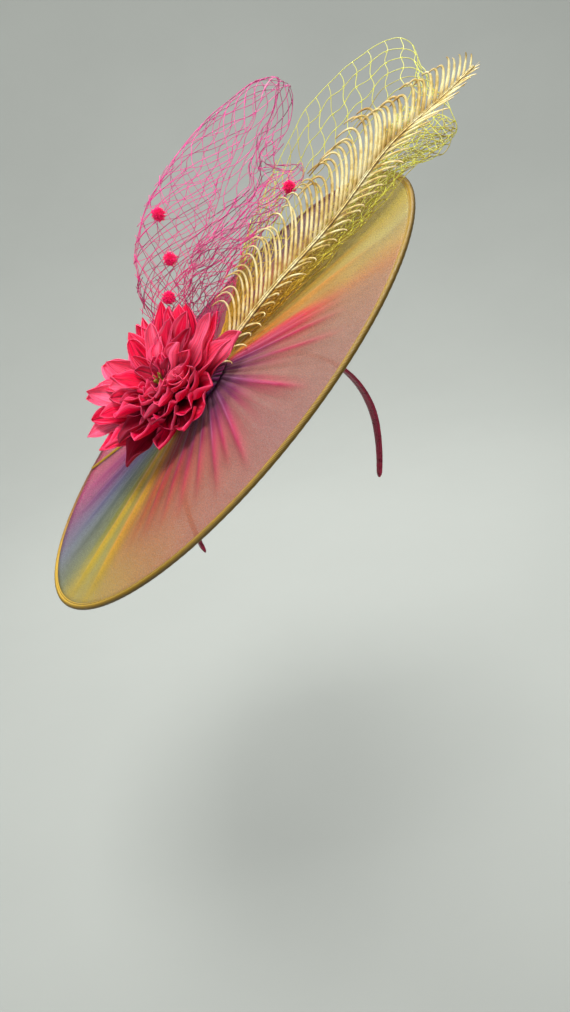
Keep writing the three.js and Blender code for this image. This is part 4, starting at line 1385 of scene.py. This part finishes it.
@dataclass
class NetSheet:
    """A ruled sheet between two edges, on the saucer's axes, that carries layers of net."""

    near: Array
    far: Array
    crumple: list[tuple[float, float]]
    layers: list[NetLayer]
    arch: float = 0.0
    lengths: Array = field(init=False)
    width: float = field(init=False)

    def __post_init__(self) -> None:
        """Measures the sheet along its middle and across, so that cells can be spaced by length."""
        share = np.linspace(0, 1, 1200)
        line = self.flat(share, np.full(1200, 0.5))
        self.lengths = np.append(0, np.cumsum(np.linalg.norm(np.diff(line, axis=0), axis=1)))
        ends = self.flat(share, np.zeros(1200)) - self.flat(share, np.ones(1200))
        self.width = float(np.linalg.norm(ends, axis=1).mean())

    def flat(self, along: Array, across: Array) -> Array:
        """Points of the sheet: near + (far - near) across, plus an arch of sin(pi across) sin(pi along)."""
        near, far = smooth_curve(self.near, along), smooth_curve(self.far, along)
        rise = self.arch * np.sin(math.pi * across) * np.sin(math.pi * along)
        return near + (far - near) * across[..., None] + rise[..., None] * np.array([0, 0, 1.0])

    def cloth(self, length: Array, across: Array, layer: NetLayer) -> tuple[Array, Array]:
        """Points and normals of a layer: the sheet, lifted and crumpled by ripples of about 26 mm."""
        share = np.interp(length, self.lengths, np.linspace(0, 1, len(self.lengths)))
        steps = (-0.004, 0.004)
        before, after = (self.flat(np.clip(share + step, 0, 1), across) for step in steps)
        left, right = (self.flat(share, np.clip(across + step, 0, 1)) for step in steps)
        along_way, across_way = after - before, right - left
        normal = unit(np.cross(along_way, across_way))
        normal = normal * np.where(normal[..., 2:3] < 0, -1, 1)
        x, y = length, across * self.width
        amount = table(self.crumple, share)[..., None]
        lift = layer.lift * np.sin(math.pi * np.clip(share, 0.02, 0.98))[..., None] ** 0.5
        rise = lift + amount * ripple(x, y, 30, layer.seed)[..., None]
        drift = (ripple(x, y, 24, layer.seed + 1)[..., None] * unit(along_way)
                 + ripple(x, y, 22, layer.seed + 2)[..., None] * unit(across_way))
        return self.flat(share, across) + normal * rise + 0.5 * amount * drift, normal

    def reach(self, layer: NetLayer) -> tuple[float, float, float]:
        """Start and end of a layer along the sheet and the run of its slanting strands, in millimetres."""
        return layer.span[0] * self.lengths[-1], layer.span[1] * self.lengths[-1], layer.slope * self.width

    def bunched(self, share: Array, layer: NetLayer) -> Array:
        """Share across, drawn towards the two edges: (1-b) share + b (1 - cos(pi share)) / 2."""
        return (1 - layer.bunch) * share + layer.bunch * (1 - np.cos(math.pi * share)) / 2

    def rung_places(self, layer: NetLayer) -> Array:
        """Lengths where a square net has its rungs."""
        low, high, _ = self.reach(layer)
        return np.arange(low + layer.spacing / 2, high, layer.spacing)

    def lane_places(self, layer: NetLayer) -> Array:
        """Shares across where a square net has its lanes."""
        return np.linspace(0, 1, int(round(self.width / layer.spacing)) + 1)

    def slanted(self, layer: NetLayer) -> tuple[Array, Array]:
        """Strands of a diamond net as lengths and shares across, strands by stations."""
        low, high, run = self.reach(layer)
        start = np.arange(low - run, high, layer.spacing)
        first = np.clip((low - start) / run, 0, 1)
        last = np.clip((high - start) / run, 0, 1)
        keep = last - first > 0.08
        share = first[keep, None] + (last - first)[keep, None] * np.linspace(0, 1, 26)
        length = start[keep, None] + run * share
        bent = self.bunched(share, layer)
        return np.concatenate([length, length]), np.concatenate([bent, 1 - bent])

    def rungs(self, layer: NetLayer) -> tuple[Array, Array]:
        """Rungs of a square net as lengths and shares across, bowed a little between knots."""
        rung = self.rung_places(layer)
        part = np.linspace(0, 1, 26)
        sway = 0.1 * layer.spacing * np.sin(TURN * part * 2.5 + rung[:, None])
        return rung[:, None] + sway, np.broadcast_to(part, (len(rung), 26))

    def lanes(self, layer: NetLayer) -> tuple[Array, Array]:
        """Strands that run along the sheet: the edges, and for a square net the lanes between its rungs."""
        low, high, _ = self.reach(layer)
        lines = self.lane_places(layer) if layer.square else np.array(layer.edges)
        stations = max(int((high - low) / 3.2), 8)
        run = np.broadcast_to(np.linspace(low, high, stations), (len(lines), stations))
        inner = (lines * (1 - lines) > 0.001)[:, None]
        sway = 0.018 * np.sin(run * TURN / layer.spacing / 2 + 1.7 * lines[:, None])
        return run, np.clip(lines[:, None] + sway * inner, 0, 1)

    def crossings(self, layer: NetLayer) -> tuple[Array, Array]:
        """Where strands cross, as lengths and shares across."""
        if layer.square:
            length, across = np.meshgrid(self.rung_places(layer), self.lane_places(layer))
            return length.reshape(-1), across.reshape(-1)
        low, high, run = self.reach(layer)
        start = np.arange(low - run, high, layer.spacing)
        first, second = (grid.reshape(-1) for grid in np.meshgrid(start, start))
        share = ((second - first) / run + 1) / 2
        length = first + run * share
        keep = (share > 0) & (share < 1) & (length > low) & (length < high)
        return length[keep], self.bunched(share[keep], layer)

    def net(self, layer: NetLayer, thread: float, axes: SaucerAxes) -> Surface:
        """All threads of a layer as round tubes, with a short fat spindle for each knot.

        Args:
            layer: The layer.
            thread: Radius of its thread.
            axes: The saucer's axes.

        Returns:
            The threads on the world's axes, each with a random mark, which is highest on a knot.
        """
        rng = np.random.default_rng(layer.seed + 9)
        strands = [self.rungs(layer) if layer.square else self.slanted(layer)]
        if layer.square or layer.edges:
            strands.append(self.lanes(layer))
        parts = []
        for length, across in strands:
            points, normal = self.cloth(length, across, layer)
            mark = rng.uniform(*layer.tones, len(points))
            parts.append(tubes(axes.world(points), thread, axes.turn(normal), sides=4, mark=mark))
        # Knots, as short fat spindles along the sheet
        length, across = self.crossings(layer)
        ends = np.array([-1.0, -0.4, 0.4, 1.0]) * 2.0 * thread
        over = np.broadcast_to(across[:, None], (len(length), len(ends)))
        points, normal = self.cloth(length[:, None] + ends, over, layer)
        radius = thread * np.array([0.7, 1.5, 1.5, 0.7])[None]
        mark = np.full(len(length), layer.tones[1])
        parts.append(tubes(axes.world(points), radius, axes.turn(normal), sides=5, mark=mark))
        return Surface.joined(parts)


@dataclass
class NetLoop:
    """Stiff net bent into a loop, from its front foot over its top and back, with any web behind it."""

    axes: SaucerAxes
    name: str
    node: str
    slot: str
    sheets: list[NetSheet]
    thread: float
    flat: tuple[float, float]
    area: float

    def build(self, finish: Material) -> Object:
        """The whole loop as one piece."""
        layers = [(sheet, layer) for sheet in self.sheets for layer in sheet.layers]
        parts = [sheet.net(layer, self.thread, self.axes) for sheet, layer in layers]
        piece = put(self.name, Surface.joined(parts), finish, self.slot, (self.node,))
        return piece


@dataclass
class ChenilleDot:
    """A small ball of pile on the net."""

    number: int
    fibres: int = 700

    def build(self, finish: Material) -> Object:
        """The ball: fibres in all directions of a golden spiral, of uneven length, on a small core."""
        low, high = node_box(f"pompom_{self.number}")
        centre, radius = (low + high) / 2, (high - low).mean() / 2
        rng = np.random.default_rng(60 + self.number)
        step = np.arange(self.fibres) + 0.5
        up = 1 - 2 * step / self.fibres
        turn = step * math.pi * (3 - math.sqrt(5))
        flat = np.sqrt(1 - up**2)
        way = np.stack([flat * np.cos(turn), flat * np.sin(turn), up], axis=-1)
        way = unit(way + rng.normal(0, 0.14, way.shape))
        length = radius * rng.uniform(0.78, 1.06, self.fibres)[:, None]
        s = np.linspace(0.35, 1, 5)
        curl = rng.normal(0, 0.16, way.shape)[:, None] * (s**2)[None, :, None] * radius
        paths = centre + way[:, None] * (length * s)[..., None] + curl
        thick = (0.42 - 0.22 * s) * np.ones((self.fibres, 1))
        side = unit(np.cross(way, np.array([0.31, 0.55, 0.77])))[:, None]
        spine = centre + np.linspace(-0.62, 0.62, 9)[:, None] * radius * np.array([0, 0, 1.0])
        girth = radius * 0.66 * np.sqrt(np.clip(1 - np.linspace(-0.99, 0.99, 9) ** 2, 0.02, 1))
        core = tubes(spine[None], girth[None], np.array([1.0, 0, 0]), sides=12)
        surface = Surface.joined([tubes(paths, thick, side, sides=3), core])
        return put(f"chenille_dot_{self.number}", surface, finish, "chenille", (f"pompom_{self.number}",))


@dataclass
class Feather:
    """Stripped feather: a flat quill with curled barbs above and in front of it."""

    axes: SaucerAxes
    foot: tuple[float, float, float] = (4.0, -16.0, 12.15)
    length: float = 240.0
    lift: float = 6.0
    turn: float = 16.0
    quill: float = 1.4
    quill_tip: float = 0.6
    barb_length: float = 58.0

    rise = [(0, 0), (0.24, 0.6), (0.48, 0.4), (0.73, 1), (0.87, 0.3), (1, -0.28)]
    upper = [(0, 0.72), (0.3, 1.0), (0.6, 0.98), (0.8, 0.56), (0.92, 0.3), (1, 0.1)]
    lower = [(0, 0.56), (0.15, 0.5), (0.3, 0.52), (0.6, 0.66), (0.8, 0.5), (0.92, 0.28), (1, 0.1)]
    stubs = [(0, 0.1), (0.7, 0.1), (1, 0.06)]
    widths = [(0, 0.9), (0.35, 0.95), (0.55, 1.15), (0.85, 1.25), (0.95, 0.9), (1, 0.6)]

    def forward(self) -> Array:
        """Direction from the foot to the tip on the saucer's axes."""
        turn = math.radians(self.turn)
        return np.array([math.cos(turn), -math.sin(turn), 0])

    def on_quill(self, share: Array) -> Array:
        """Points of the quill on the saucer's axes: a spline through the table of its rise."""
        at, rise = np.array(self.rise).T
        knots = np.array(self.foot) + at[:, None] * self.length * self.forward()
        knots[:, 2] += rise * self.lift
        place = np.interp(share, at, np.linspace(0, 1, len(at)))
        return smooth_curve(knots, place)

    def barb_set(
        self, way: Array, lengths: list[tuple[float, float]], bend: Array,
        start: float, barbs: int, crowd: float, seed: int,
    ) -> Surface:
        """One side's barbs.

        Each barb is a cubic from the quill with control points (ahead, out) = bend times its length,
        and neighbours in a clump of about six share most of their lean.

        Args:
            way: Direction away from the quill, on the saucer's axes.
            lengths: Table of the barbs' lengths along the quill.
            bend: Three control points as pairs of shares.
            start: Share of the quill where the barbs begin.
            barbs: Number of barbs.
            crowd: Power that draws them towards the tip when it is under 1.
            seed: Seed of the small differences.

        Returns:
            The barbs, with marks that rise to their roots and tips.
        """
        # Place, lean, curl and length of each barb, shared in part by its clump
        rng = np.random.default_rng(seed)
        share = start + (0.99 - start) * np.linspace(0, 1, barbs) ** crowd + rng.normal(0, 0.0012, barbs)
        clump = np.floor(np.arange(barbs) / 6 + rng.uniform(-0.2, 0.2, barbs)).astype(int)
        lean = rng.normal(0, 0.05, clump.max() + 2)[clump] + rng.normal(0, 0.018, barbs)
        lean += 0.3 * smooth_step(0.72, 1.0, share)
        curl = rng.normal(0, 0.08, clump.max() + 2)[clump] + rng.normal(0, 0.03, barbs)
        length = self.barb_length * table(lengths, share) * (1 + rng.normal(0, 0.035, barbs))
        root = self.on_quill(share) + 0.45 * self.quill * way
        s = np.broadcast_to(np.linspace(0, 1, 26), (barbs, 26))
        shift = np.stack([lean, lean * 0.4], axis=-1)
        controls = [root[:, None]]
        for index, (ahead, out) in enumerate(bend):
            grow = (0.4, 1.0, 1.6)[index]
            ahead_by = (ahead + grow * shift[:, 0] - (curl if index == 2 else 0)) * length
            out_by = (out + grow * shift[:, 1] - (0.5 * np.abs(curl) if index == 2 else 0)) * length
            controls.append((root + ahead_by[:, None] * self.forward() + out_by[:, None] * way)[:, None])
        paths = bezier(controls, s)
        normal = unit(np.cross(self.forward(), way))
        sway = rng.normal(0, 0.05, barbs)[:, None] * length[:, None] * s**2
        paths = paths + sway[..., None] * normal
        size = min(1.0, 0.28 + 1.3 * lengths[0][1])
        radius = (0.3 + 0.82 * (1 - s) ** 0.55) * table(self.widths, share)[:, None] * size
        surface = tubes(self.axes.world(paths), radius, self.axes.turn(normal), sides=5, flat=0.5)
        surface.mark = np.repeat((s**3 + 1.5 * (1 - s) ** 9).reshape(-1), 5)
        return surface

    def build(self, finish: Material) -> Object:
        """The whole feather as one piece."""
        share = np.linspace(0, 1.0, 150)
        path = self.axes.world(self.on_quill(share) + np.array([0, -1.1, 0.6]))[None]
        width = 1.7 * (self.quill + (self.quill_tip - self.quill) * share)
        width = width + 0.12 * np.sin(share * 300) * (1 - share)
        up = self.axes.rows()[2]
        stem = tubes(path, width[None], up, sides=10, flat=0.62, mark=np.array([-1.0]))
        crest = path + self.axes.turn(np.array([0, -0.35, 0.72])) * width[None, :, None]
        ridge = tubes(crest, 0.36 * width[None], up, sides=6, flat=0.7, mark=np.array([-0.8]))
        above, ahead = unit(np.array([0, 0.2, 0.98])), unit(np.array([0, -0.98, -0.2]))
        hooked = np.array([(0.37, 0.22), (0.66, 0.5), (0.35, 0.56)])
        bowed = np.array([(0.12, 0.1), (0.3, 0.42), (0.25, 0.6)])
        along = np.array([(0.5, 0.12), (1.0, 0.26), (1.5, 0.34)])
        surface = Surface.joined([
            stem, ridge,
            self.barb_set(above, self.upper, hooked, start=0.07, barbs=48, crowd=1.0, seed=11),
            self.barb_set(ahead, self.lower, bowed, start=0.01, barbs=36, crowd=0.85, seed=12),
            self.barb_set(ahead, self.stubs, along, start=0.3, barbs=70, crowd=1.0, seed=14),
        ])
        return put("gold_feather", surface, finish, "feather_gold", ("feather",))


# Loops: each row holds the near and the far edge as shares of the loop's reach, depth and height

NET_SEAT = 11.5
PINK_SIZE = (200.0, 70.0, 95.0)
PINK_ROWS = [
    ((0.025, 0.13, 0), (0.0, 0.25, 0)), ((0.12, 0.25, 0.24), (0.04, 0.5, 0.42)),
    ((0.22, 0.24, 0.41), (0.15, 0.6, 0.72)), ((0.4, 0.24, 0.53), (0.29, 0.64, 0.89)),
    ((0.6, 0.26, 0.68), (0.57, 0.7, 0.97)), ((0.77, 0.29, 0.74), (0.8, 0.77, 0.92)),
    ((0.89, 0.34, 0.75), (0.95, 0.89, 0.82)), ((0.97, 0.46, 0.61), (1.04, 1.0, 0.7)),
    ((0.87, 0.55, 0.48), (0.93, 1.06, 0.56)), ((0.75, 0.58, 0.42), (0.75, 1.1, 0.47)),
    ((0.8, 0.48, 0.24), (0.68, 1.05, 0.38)), ((0.66, 0.48, 0.17), (0.46, 0.97, 0.4)),
    ((0.34, 0.44, 0.14), (0.2, 0.8, 0.33)), ((0.055, 0.25, 0), (0.02, 0.36, 0)),
]
YELLOW_SIZE = (280.0, 80.0, 40.0)
YELLOW_ROWS = [
    ((0.046, -0.11, 0), (0.046, -0.05, 0)), ((0.086, -0.13, 0.01), (0.082, 0.02, 0.01)),
    ((0.16, -0.42, -0.07), (0.15, 0.05, -0.06)), ((0.32, -0.78, -0.1), (0.3, -0.02, -0.09)),
    ((0.46, -1.0, -0.13), (0.45, -0.1, -0.11)), ((0.57, -1.05, -0.16), (0.57, -0.1, -0.1)),
    ((0.66, -0.98, -0.42), (0.68, -0.08, -0.12)), ((0.75, -0.8, -0.52), (0.79, 0.05, -0.1)),
    ((0.815, -0.56, -0.24), (0.92, 0.2, -0.02)), ((0.835, -0.31, 0.02), (1.0, 0.41, 0.22)),
    ((0.81, -0.1, 0.26), (1.01, 0.58, 0.5)), ((0.73, 0.15, 0.17), (0.92, 0.76, 0.78)),
    ((0.55, 0.48, 0.02), (0.75, 1.0, 0.88)), ((0.42, 0.5, -0.05), (0.61, 1.05, 0.71)),
    ((0.28, 0.41, -0.05), (0.39, 0.9, 0.39)), ((0.12, 0.1, 0.0), (0.157, 0.32, 0.07)),
    ((0.05, -0.01, 0), (0.05, 0.06, 0)),
]


def edge_knots(rows: list[tuple], side: int, size: tuple[float, float, float]) -> Array:
    """Knots of one edge of a loop in millimetres on the saucer's axes, over the net's seat."""
    return np.array([row[side] for row in rows]) * np.array(size) + np.array([0, 0, NET_SEAT])


def pink_loop(axes: SaucerAxes) -> NetLoop:
    """The magenta loop: a diamond net, doubled at its foot, crumpled at its return, with a web behind."""
    loop = NetSheet(
        edge_knots(PINK_ROWS, 0, PINK_SIZE), edge_knots(PINK_ROWS, 1, PINK_SIZE), arch=5.0,
        crumple=[
            (0, 1.0), (0.1, 1.8), (0.2, 0.7), (0.5, 0.8), (0.6, 2.0), (0.85, 5.0), (0.97, 3.0), (1, 1),
        ],
        layers=[
            NetLayer(13.5, slope=1.5, bunch=0.35, edges=(0.0, 1.0), seed=21, tones=(0.0, 0.85)),
            NetLayer(13.5, (0.0, 0.3), 3.5, slope=1.2, edges=(0.05, 0.93), seed=31),
            NetLayer(12.0, (0.0, 0.14), 8.0, slope=1.0, seed=35, tones=(0.0, 0.8)),
            NetLayer(10.5, (0.6, 1.0), -4.0, square=True, seed=41),
            NetLayer(10.0, (0.7, 1.0), 6.0, slope=1.6, bunch=0.0, seed=51, tones=(0.0, 0.8)),
            NetLayer(9.0, (0.78, 1.0), 10.0, square=True, seed=61, tones=(0.0, 0.8)),
        ],
    )
    rise = np.linspace(0, 1, 7)
    web = NetSheet(
        smooth_curve(loop.far, 0.1 + 0.27 * rise), smooth_curve(loop.far, 0.9 - 0.4 * rise), arch=-7.0,
        crumple=[(0, 2.5), (0.5, 1.2), (1, 0.5)],
        layers=[NetLayer(12.5, square=True, seed=71)],
    )
    return NetLoop(
        axes, "magenta_net", "veil_pink", "net_magenta", [loop, web],
        thread=0.24, flat=(0.075, 0.47), area=0.0115,
    )


def yellow_loop(axes: SaucerAxes) -> NetLoop:
    """The yellow-green loop: a square net, with crumpled layers where it lies along the saucer."""
    loop = NetSheet(
        edge_knots(YELLOW_ROWS, 0, YELLOW_SIZE), edge_knots(YELLOW_ROWS, 1, YELLOW_SIZE),
        crumple=[(0, 0.8), (0.08, 1.6), (0.4, 2.0), (0.5, 1.5), (0.62, 0.8), (0.85, 1.2), (1, 0.8)],
        layers=[
            NetLayer(12.5, (0.3, 1.0), square=True, seed=23),
            NetLayer(8.0, (0.0, 0.4), 1.0, slope=1.0, edges=(0.03,), seed=33, tones=(0.1, 0.9)),
            NetLayer(9.0, (0.02, 0.4), -1.0, square=True, seed=43, tones=(0.0, 0.5)),
            NetLayer(9.0, (0.04, 0.38), 2.0, slope=0.7, bunch=0.0, seed=53, tones=(0.0, 0.6)),
            NetLayer(9.5, (0.06, 0.36), 3.5, square=True, seed=83, tones=(0.1, 0.8)),
            NetLayer(14.0, (0.74, 1.0), 3.0, slope=1.2, seed=63),
            NetLayer(8.0, (0.82, 1.0), 1.0, square=True, seed=93, tones=(0.0, 0.4)),
            NetLayer(7.5, (0.82, 1.0), -2.0, slope=0.8, bunch=0.0, seed=103, tones=(0.0, 0.3)),
            NetLayer(9.0, (0.86, 1.0), 4.0, slope=1.2, bunch=0.0, seed=113, tones=(0.0, 0.5)),
        ],
    )
    return NetLoop(
        axes, "lime_net", "veil_yellow", "net_lime", [loop],
        thread=0.26, flat=(0.1, 0.56), area=0.018,
    )


@dataclass(frozen=True)
class Camera:
    """Camera at the photograph's viewing angle, from a fit of the ring and the band."""

    azimuth: float = -24.55
    elevation: float = 25.19
    roll: float = 12.13
    distance: float = 0.6908
    target: tuple[float, float, float] = (-0.00754, 0.0, -0.11127)
    focal_pixels: float = 926.3
    image_height: float = 1012.0

    def make(self) -> None:
        """Places the camera behind its target, turned by its roll, and gives it the scene."""
        a, e, r = map(math.radians, (self.azimuth, self.elevation, self.roll))
        back = Vector((math.sin(a) * math.cos(e), -math.cos(a) * math.cos(e), math.sin(e)))
        right = Vector((math.cos(a), math.sin(a), 0))
        up = back.cross(right)
        x, y = math.cos(r) * right - math.sin(r) * up, math.sin(r) * right + math.cos(r) * up
        data = bpy.data.cameras.new("camera")
        data.sensor_width = 36.0
        data.lens = self.focal_pixels / self.image_height * data.sensor_width
        data.clip_start, data.clip_end = 0.01, 20
        camera = bpy.data.objects.new("camera", data)
        place = Vector(self.target) + self.distance * back
        camera.matrix_world = Matrix.Translation(place) @ Matrix((x, y, back)).transposed().to_4x4()
        bpy.context.scene.collection.objects.link(camera)
        bpy.context.scene.camera = camera


@dataclass(frozen=True)
class Studio:
    """Plain pale floor that curves up far from the object, and soft light."""

    floor: float = -0.56
    bend_at: float = 1.3
    bend: float = 1.6

    def bowl(self) -> Object:
        """The floor: flat out to bend_at, then up all round as a quarter of a circle of radius bend."""
        arc = np.linspace(0, math.pi / 2, 25)
        turn = TURN * np.arange(96) / 96
        out = np.concatenate([[self.bend_at / 2], self.bend_at + self.bend * np.sin(arc)])[:, None]
        up = np.concatenate([[0], self.bend * (1 - np.cos(arc))])[:, None] + self.floor
        points = polar(out, turn, up)
        index = np.arange(points[..., 0].size).reshape(len(out), -1)
        quads = ring_quads(index)
        mesh = bpy.data.meshes.new("floor")
        mesh.from_pydata(points.reshape(-1, 3).tolist(), [], [*quads.tolist(), index[0].tolist()])
        mesh.polygons.foreach_set("use_smooth", np.ones(len(quads) + 1, dtype=bool))
        floor = bpy.data.objects.new("floor", mesh)
        bpy.context.scene.collection.objects.link(floor)
        return floor

    def make(self) -> None:
        """Floor, world light and four large lamps."""
        floor = self.bowl()
        material, bench, shader = dressed("floor", Roughness=0.8)
        tone = drifted(bench, tint(146, 149, 144), bench.objects(), 3.0, 0.05)
        feed(bench, shader, Base_Color=tone.outputs["Color"])
        floor.data.materials.append(material)
        floor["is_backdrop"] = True
        scene = bpy.context.scene
        scene.view_settings.view_transform = "Standard"
        world = bpy.data.worlds.new("studio")
        world.use_nodes = True
        world.node_tree.nodes["Background"].inputs[0].default_value = tint(222, 226, 226)
        world.node_tree.nodes["Background"].inputs[1].default_value = 0.34
        scene.world = world
        for name, place, aim, size, power in (
            ("key", (-0.35, -0.75, 1.75), (0.0, 0.0, 0.0), 0.7, 41),
            ("fill", (-0.7, -1.5, 0.35), (0.0, 0.0, 0.05), 0.9, 12),
            ("back", (0.6, 0.9, 1.0), (0.0, 0.0, 0.0), 0.8, 12),
            ("wall", (0.3, 0.7, 1.2), (0.8, 1.9, -0.6), 1.2, 44),
        ):
            data = bpy.data.lights.new(name, "AREA")
            data.size, data.energy = size, power
            lamp = bpy.data.objects.new(name, data)
            lamp.location = place
            lamp.rotation_mode = "QUATERNION"
            lamp.rotation_quaternion = (Vector(place) - Vector(aim)).to_track_quat("Z", "Y")
            scene.collection.objects.link(lamp)


def corners() -> list[list[float]]:
    """Lowest and highest corner of what shows, as plain lists."""
    return [list(map(float, corner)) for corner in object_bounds()]


def main() -> None:
    """Builds the sub-assemblies in order, then the camera and the studio."""
    logging.basicConfig(level=logging.INFO, format="%(name)s: %(message)s")
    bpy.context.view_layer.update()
    Camera().make()
    Studio().make()
    axes = SaucerAxes()
    satin, binding, silk = Satin().make(), Binding().make(), PetalSilk().make()
    saucer = Saucer(axes)
    saucer.build_rim(binding)
    saucer.build_upper(Organza(Face.UPPER).make())
    saucer.build_under(Organza(Face.UNDER, cover=0.42).make())
    saucer.build_seam(binding)
    saucer.build_pad(GatherCloth().make())
    saucer.build_button(satin)
    Headband().build(satin)
    stamen = NetThread("stamen", tint(196, 176, 60), tint(120, 96, 20), tint(196, 176, 60))
    magenta = NetThread("net_magenta", tint(240, 76, 160), tint(112, 10, 70), tint(226, 32, 112))
    lime = NetThread("net_lime", tint(208, 208, 72), tint(138, 106, 8), tint(206, 150, 22))
    Dahlia(axes).build(silk, stamen.make())
    pink_loop(axes).build(magenta.make())
    yellow_loop(axes).build(lime.make())
    chenille = Chenille().make()
    for number in range(1, 6):
        ChenilleDot(number).build(chenille)
    Feather(axes).build(FeatherGold().make())


if __name__ == "__main__":
    main()
